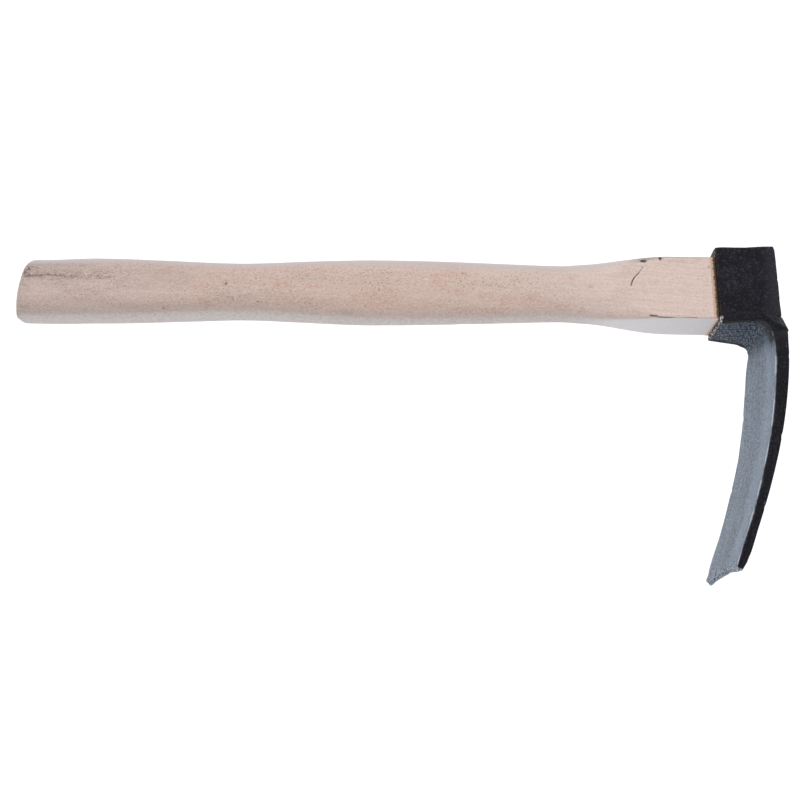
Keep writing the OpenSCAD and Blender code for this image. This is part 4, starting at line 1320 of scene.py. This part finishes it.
def make_weld(name, side, node, material):
    """Rippled fillet in the corner of cheek and leg; side is 1 at +Y and -1 at -Y."""
    length_cells, arc_cells = 150, 26
    bead_radius, ripple_pitch = 2.38, 1.55
    corner_y, corner_z = EYE_WIDTH / 2 + 0.03, LEG_TOP + 0.03
    x0 = EYE_REAR_X + 7
    x1 = x0 + EYE_LENGTH - 13.4
    verts = []
    for i in range(length_cells + 1):
        x = mix(x0 + 0.05, x1 - 0.05, i / length_cells)
        start = math.sqrt(max(0.0, 1 - max(0, 1 - (x - x0) / 1.4) ** 2))
        stop = math.sqrt(max(0.0, 1 - max(0, 1 - (x1 - x) / 1.6) ** 2))
        swell = max(start * stop, 0.12)
        for k in range(arc_cells + 1):
            a = math.radians(90 * k / arc_cells)
            bow = 0.9 * math.sin(2 * a)
            ripple = 0.5 + 0.5 * math.cos(2 * math.pi * (x + bow * 0.9) / ripple_pitch)
            if 0 < k < arc_cells:
                shape = 0.84 + 0.11 * ripple * math.sin(2 * a) ** 0.5
            else:
                shape = 0.86 + 0.03 * ripple
            r = bead_radius * swell * shape
            verts.append((x, corner_y + r * math.cos(a), corner_z + r * math.sin(a)))
        verts.append((x, corner_y, corner_z))
    verts = np.array(verts)
    out = (verts - (0, corner_y, corner_z)) * (0, 1, 1)
    distance = np.linalg.norm(out, axis=1)
    free = (distance > 0.2) & (out[:, 1] > 0.05) & (out[:, 2] > 0.05)
    noise = fbm(verts * 1.3, 2, 95 + side) * 0.05
    verts = verts + np.where(free, noise / np.maximum(distance, 1e-6), 0)[:, None] * out
    verts[:, 1] *= side

    ring = arc_cells + 2
    quads = []
    for i in range(length_cells):
        here, there = i * ring, (i + 1) * ring
        for k in range(ring):
            following = (k + 1) % ring
            quads.append((here + k, here + following, there + following, there + k))
    last = length_cells * ring
    tris = [(k + 1, k, 0) for k in range(1, ring - 1)]
    tris += [(last + k, last + k + 1, last) for k in range(1, ring - 1)]
    quads, tris, _ = outward(verts, np.array(quads), tris)
    return build(name, verts, quads, material, node, tris=tris)


def wedge_mesh(size, cells, radius, seed, noise_scale, shape):
    """Rounded wedge; shape turns unit box coordinates into x, y and z."""
    _, pts, quads = rounded_box(size, cells, radius, steps=3)
    verts = np.stack(shape(*(pts / np.array(size)).T), 1)
    quads, _, normals = outward(verts, quads)
    move = fbm(verts * noise_scale, 3, seed) * 0.03 - 0.02
    return verts + normals * move[:, None], quads


def make_wood_wedge(material):
    def shape(u, v, w):
        return (mix(TENON_FRONT - WOOD_WEDGE_LENGTH, TENON_FRONT, u),
                (v * 2 - 1) * mix(0.45, 1.6, u),
                mix(WOOD_WEDGE_LOW, WOOD_WEDGE_TOP, w))

    verts, quads = wedge_mesh(size=(WOOD_WEDGE_LENGTH, 3.0, 31.0), cells=(60, 8, 80),
                              radius=0.25, seed=97, noise_scale=0.8, shape=shape)
    front_face = verts[:, 0] > TENON_FRONT - 0.3
    verts[:, 0] += front_face * fbm(verts * 1.6, 2, 98) * 0.06
    return build("wedge_of_wood", verts, quads, material, "wood_wedge")


def make_steel_wedges(material):
    all_verts, all_quads, count = [], [], 0
    for number, centre_z in enumerate(STEEL_WEDGE_Z):
        def shape(u, v, w):
            return (mix(STEEL_WEDGE_FRONT - STEEL_WEDGE_LENGTH, STEEL_WEDGE_FRONT, u),
                    (v * 2 - 1) * 8.0,
                    centre_z + (w * 2 - 1) * mix(0.25, 1.2, u))

        verts, quads = wedge_mesh(size=(STEEL_WEDGE_LENGTH, 16.0, 2.4), cells=(40, 40, 6),
                                  radius=0.3, seed=101 + number, noise_scale=0.7, shape=shape)
        head = ease((verts[:, 0] - (TENON_FRONT - 0.4)) / 0.7)
        verts[:, 0] += head * fbm(verts * 0.9, 3, 103 + number) * 0.10
        all_verts.append(verts)
        all_quads.append(quads + count)
        count += len(verts)
    return build("wedges_of_steel", np.concatenate(all_verts), np.concatenate(all_quads),
                 material, "steel_wedges")


def cut_wood_wedge(wedge):
    """The wooden wedge gives way to the two steel ones."""
    play = 2 * SLOT_PLAY
    x0, x1 = STEEL_WEDGE_FRONT - STEEL_WEDGE_LENGTH - 0.1, TENON_FRONT + 0.9
    for z in STEEL_WEDGE_Z:
        cutter = level_cutter(x0, x1, 17.0, z, 0.5 + play, 2.46 + play)
        cut(wedge, [cutter], "EXACT", 1000)


# ------------------------------------------------------------------ the object

wood, eye_black, blade_metal, weld_black = beech(), eye_paint(), blade_finish(), weld_paint()
wedge_wood_look, wedge_steel_look = wedge_wood(), wedge_steel()

cut_tenon(make_haft(wood))
make_eye(eye_black)
make_blade(blade_metal)
make_weld("weld_left", 1, "weld_bead_left", weld_black)
make_weld("weld_right", -1, "weld_bead_right", weld_black)
wood_wedge = make_wood_wedge(wedge_wood_look)
make_steel_wedges(wedge_steel_look)
cut_wood_wedge(wood_wedge)


# ------------------------------------------------------------------ stage, light, camera
# From here on places and sizes are metres.

scene = bpy.context.scene
scene.view_settings.view_transform = "Standard"
scene.view_settings.look = "None"
scene.view_settings.exposure = 0.0
scene.view_settings.gamma = 1.0


def make_floor():
    """A pale round table well below the tool; seen from underneath it is clear."""
    sides, radius, (x, y, z) = 96, 0.46, (-0.16, 0.05, -0.36)
    pts = [(x, y, z)]
    for k in range(sides):
        a = 2 * math.pi * k / sides
        pts.append((x + radius * math.cos(a), y + radius * math.sin(a), z))
    mesh = bpy.data.meshes.new("floor")
    mesh.from_pydata(pts, [], [(0, 1 + k, 1 + (k + 1) % sides) for k in range(sides)])
    obj = bpy.data.objects.new("floor", mesh)
    scene.collection.objects.link(obj)
    g = new_graph("floor_paper")
    tone = g.place().noise(scale=0.02, detail=3.0)
    paper = g.node("BsdfDiffuse", {"Color": g.blend((243, 243, 242), (248, 248, 248), tone)})
    backfacing = g.node("NewGeometry", output="Backfacing")
    clear = g.node("BsdfTransparent")
    g.node("OutputMaterial", {0: g.node("MixShader", {0: backfacing, 1: paper, 2: clear})})
    mesh.materials.append(g.owner)


def make_world():
    """Soft light, stronger from +Y and from above; plain white to the camera."""
    scene.world = bpy.data.worlds.new("studio")
    g = Graph(scene.world)
    _, y, z = g.node("TexCoord", output="Generated").parts()
    behind = g.map_range(y, (-0.35, 0.45), (0.50, 1.05))
    above = g.map_range(z, (-0.9, 0.6), (0.90, 1.08))
    strength = g.node("Math", {0: behind, 1: above}, operation="MULTIPLY")
    lit = g.node("Background", {"Color": (0.985, 0.99, 1.0, 1), "Strength": strength})
    seen = g.node("Background", {"Color": (1, 1, 1, 1), "Strength": 1.15})
    camera_ray = g.node("LightPath", output="Is Camera Ray")
    g.node("OutputWorld", {0: g.node("MixShader", {0: camera_ray, 1: lit, 2: seen})})


def area(name, at, towards, size, power, tint=(1, 1, 1)):
    light = bpy.data.lights.new(name, "AREA")
    light.shape = "RECTANGLE"
    light.size, light.size_y = size
    light.energy = power
    light.color = tint
    obj = bpy.data.objects.new(name, light)
    scene.collection.objects.link(obj)
    obj.location = at
    obj.rotation_mode = "QUATERNION"
    obj.rotation_quaternion = (Vector(towards) - Vector(at)).to_track_quat("-Z", "Y")


def make_camera():
    data = bpy.data.cameras.new("camera")
    data.sensor_width = 36.0
    data.sensor_fit = "AUTO"
    data.lens = 40.5
    data.shift_x, data.shift_y = -0.000625, 0.000625
    data.clip_start, data.clip_end = 0.02, 50.0
    camera = bpy.data.objects.new("camera", data)
    scene.collection.objects.link(camera)
    camera.rotation_mode = "QUATERNION"
    camera.location = Vector((CAMERA_AT * MM).tolist())
    axes = Matrix((CAMERA_RIGHT.tolist(), CAMERA_UP.tolist(), (-CAMERA_AHEAD).tolist()))
    camera.rotation_quaternion = axes.transposed().to_quaternion()
    scene.camera = camera


make_floor()
make_world()
area("key", at=(-0.75, -0.95, 0.85), towards=(-0.16, 0, -0.03), size=(0.9, 0.7), power=9.0)
area("fill", at=(0.55, -0.9, -0.15), towards=(-0.05, 0, -0.08), size=(0.6, 0.8), power=2.0,
     tint=(0.95, 0.97, 1.0))
make_camera()
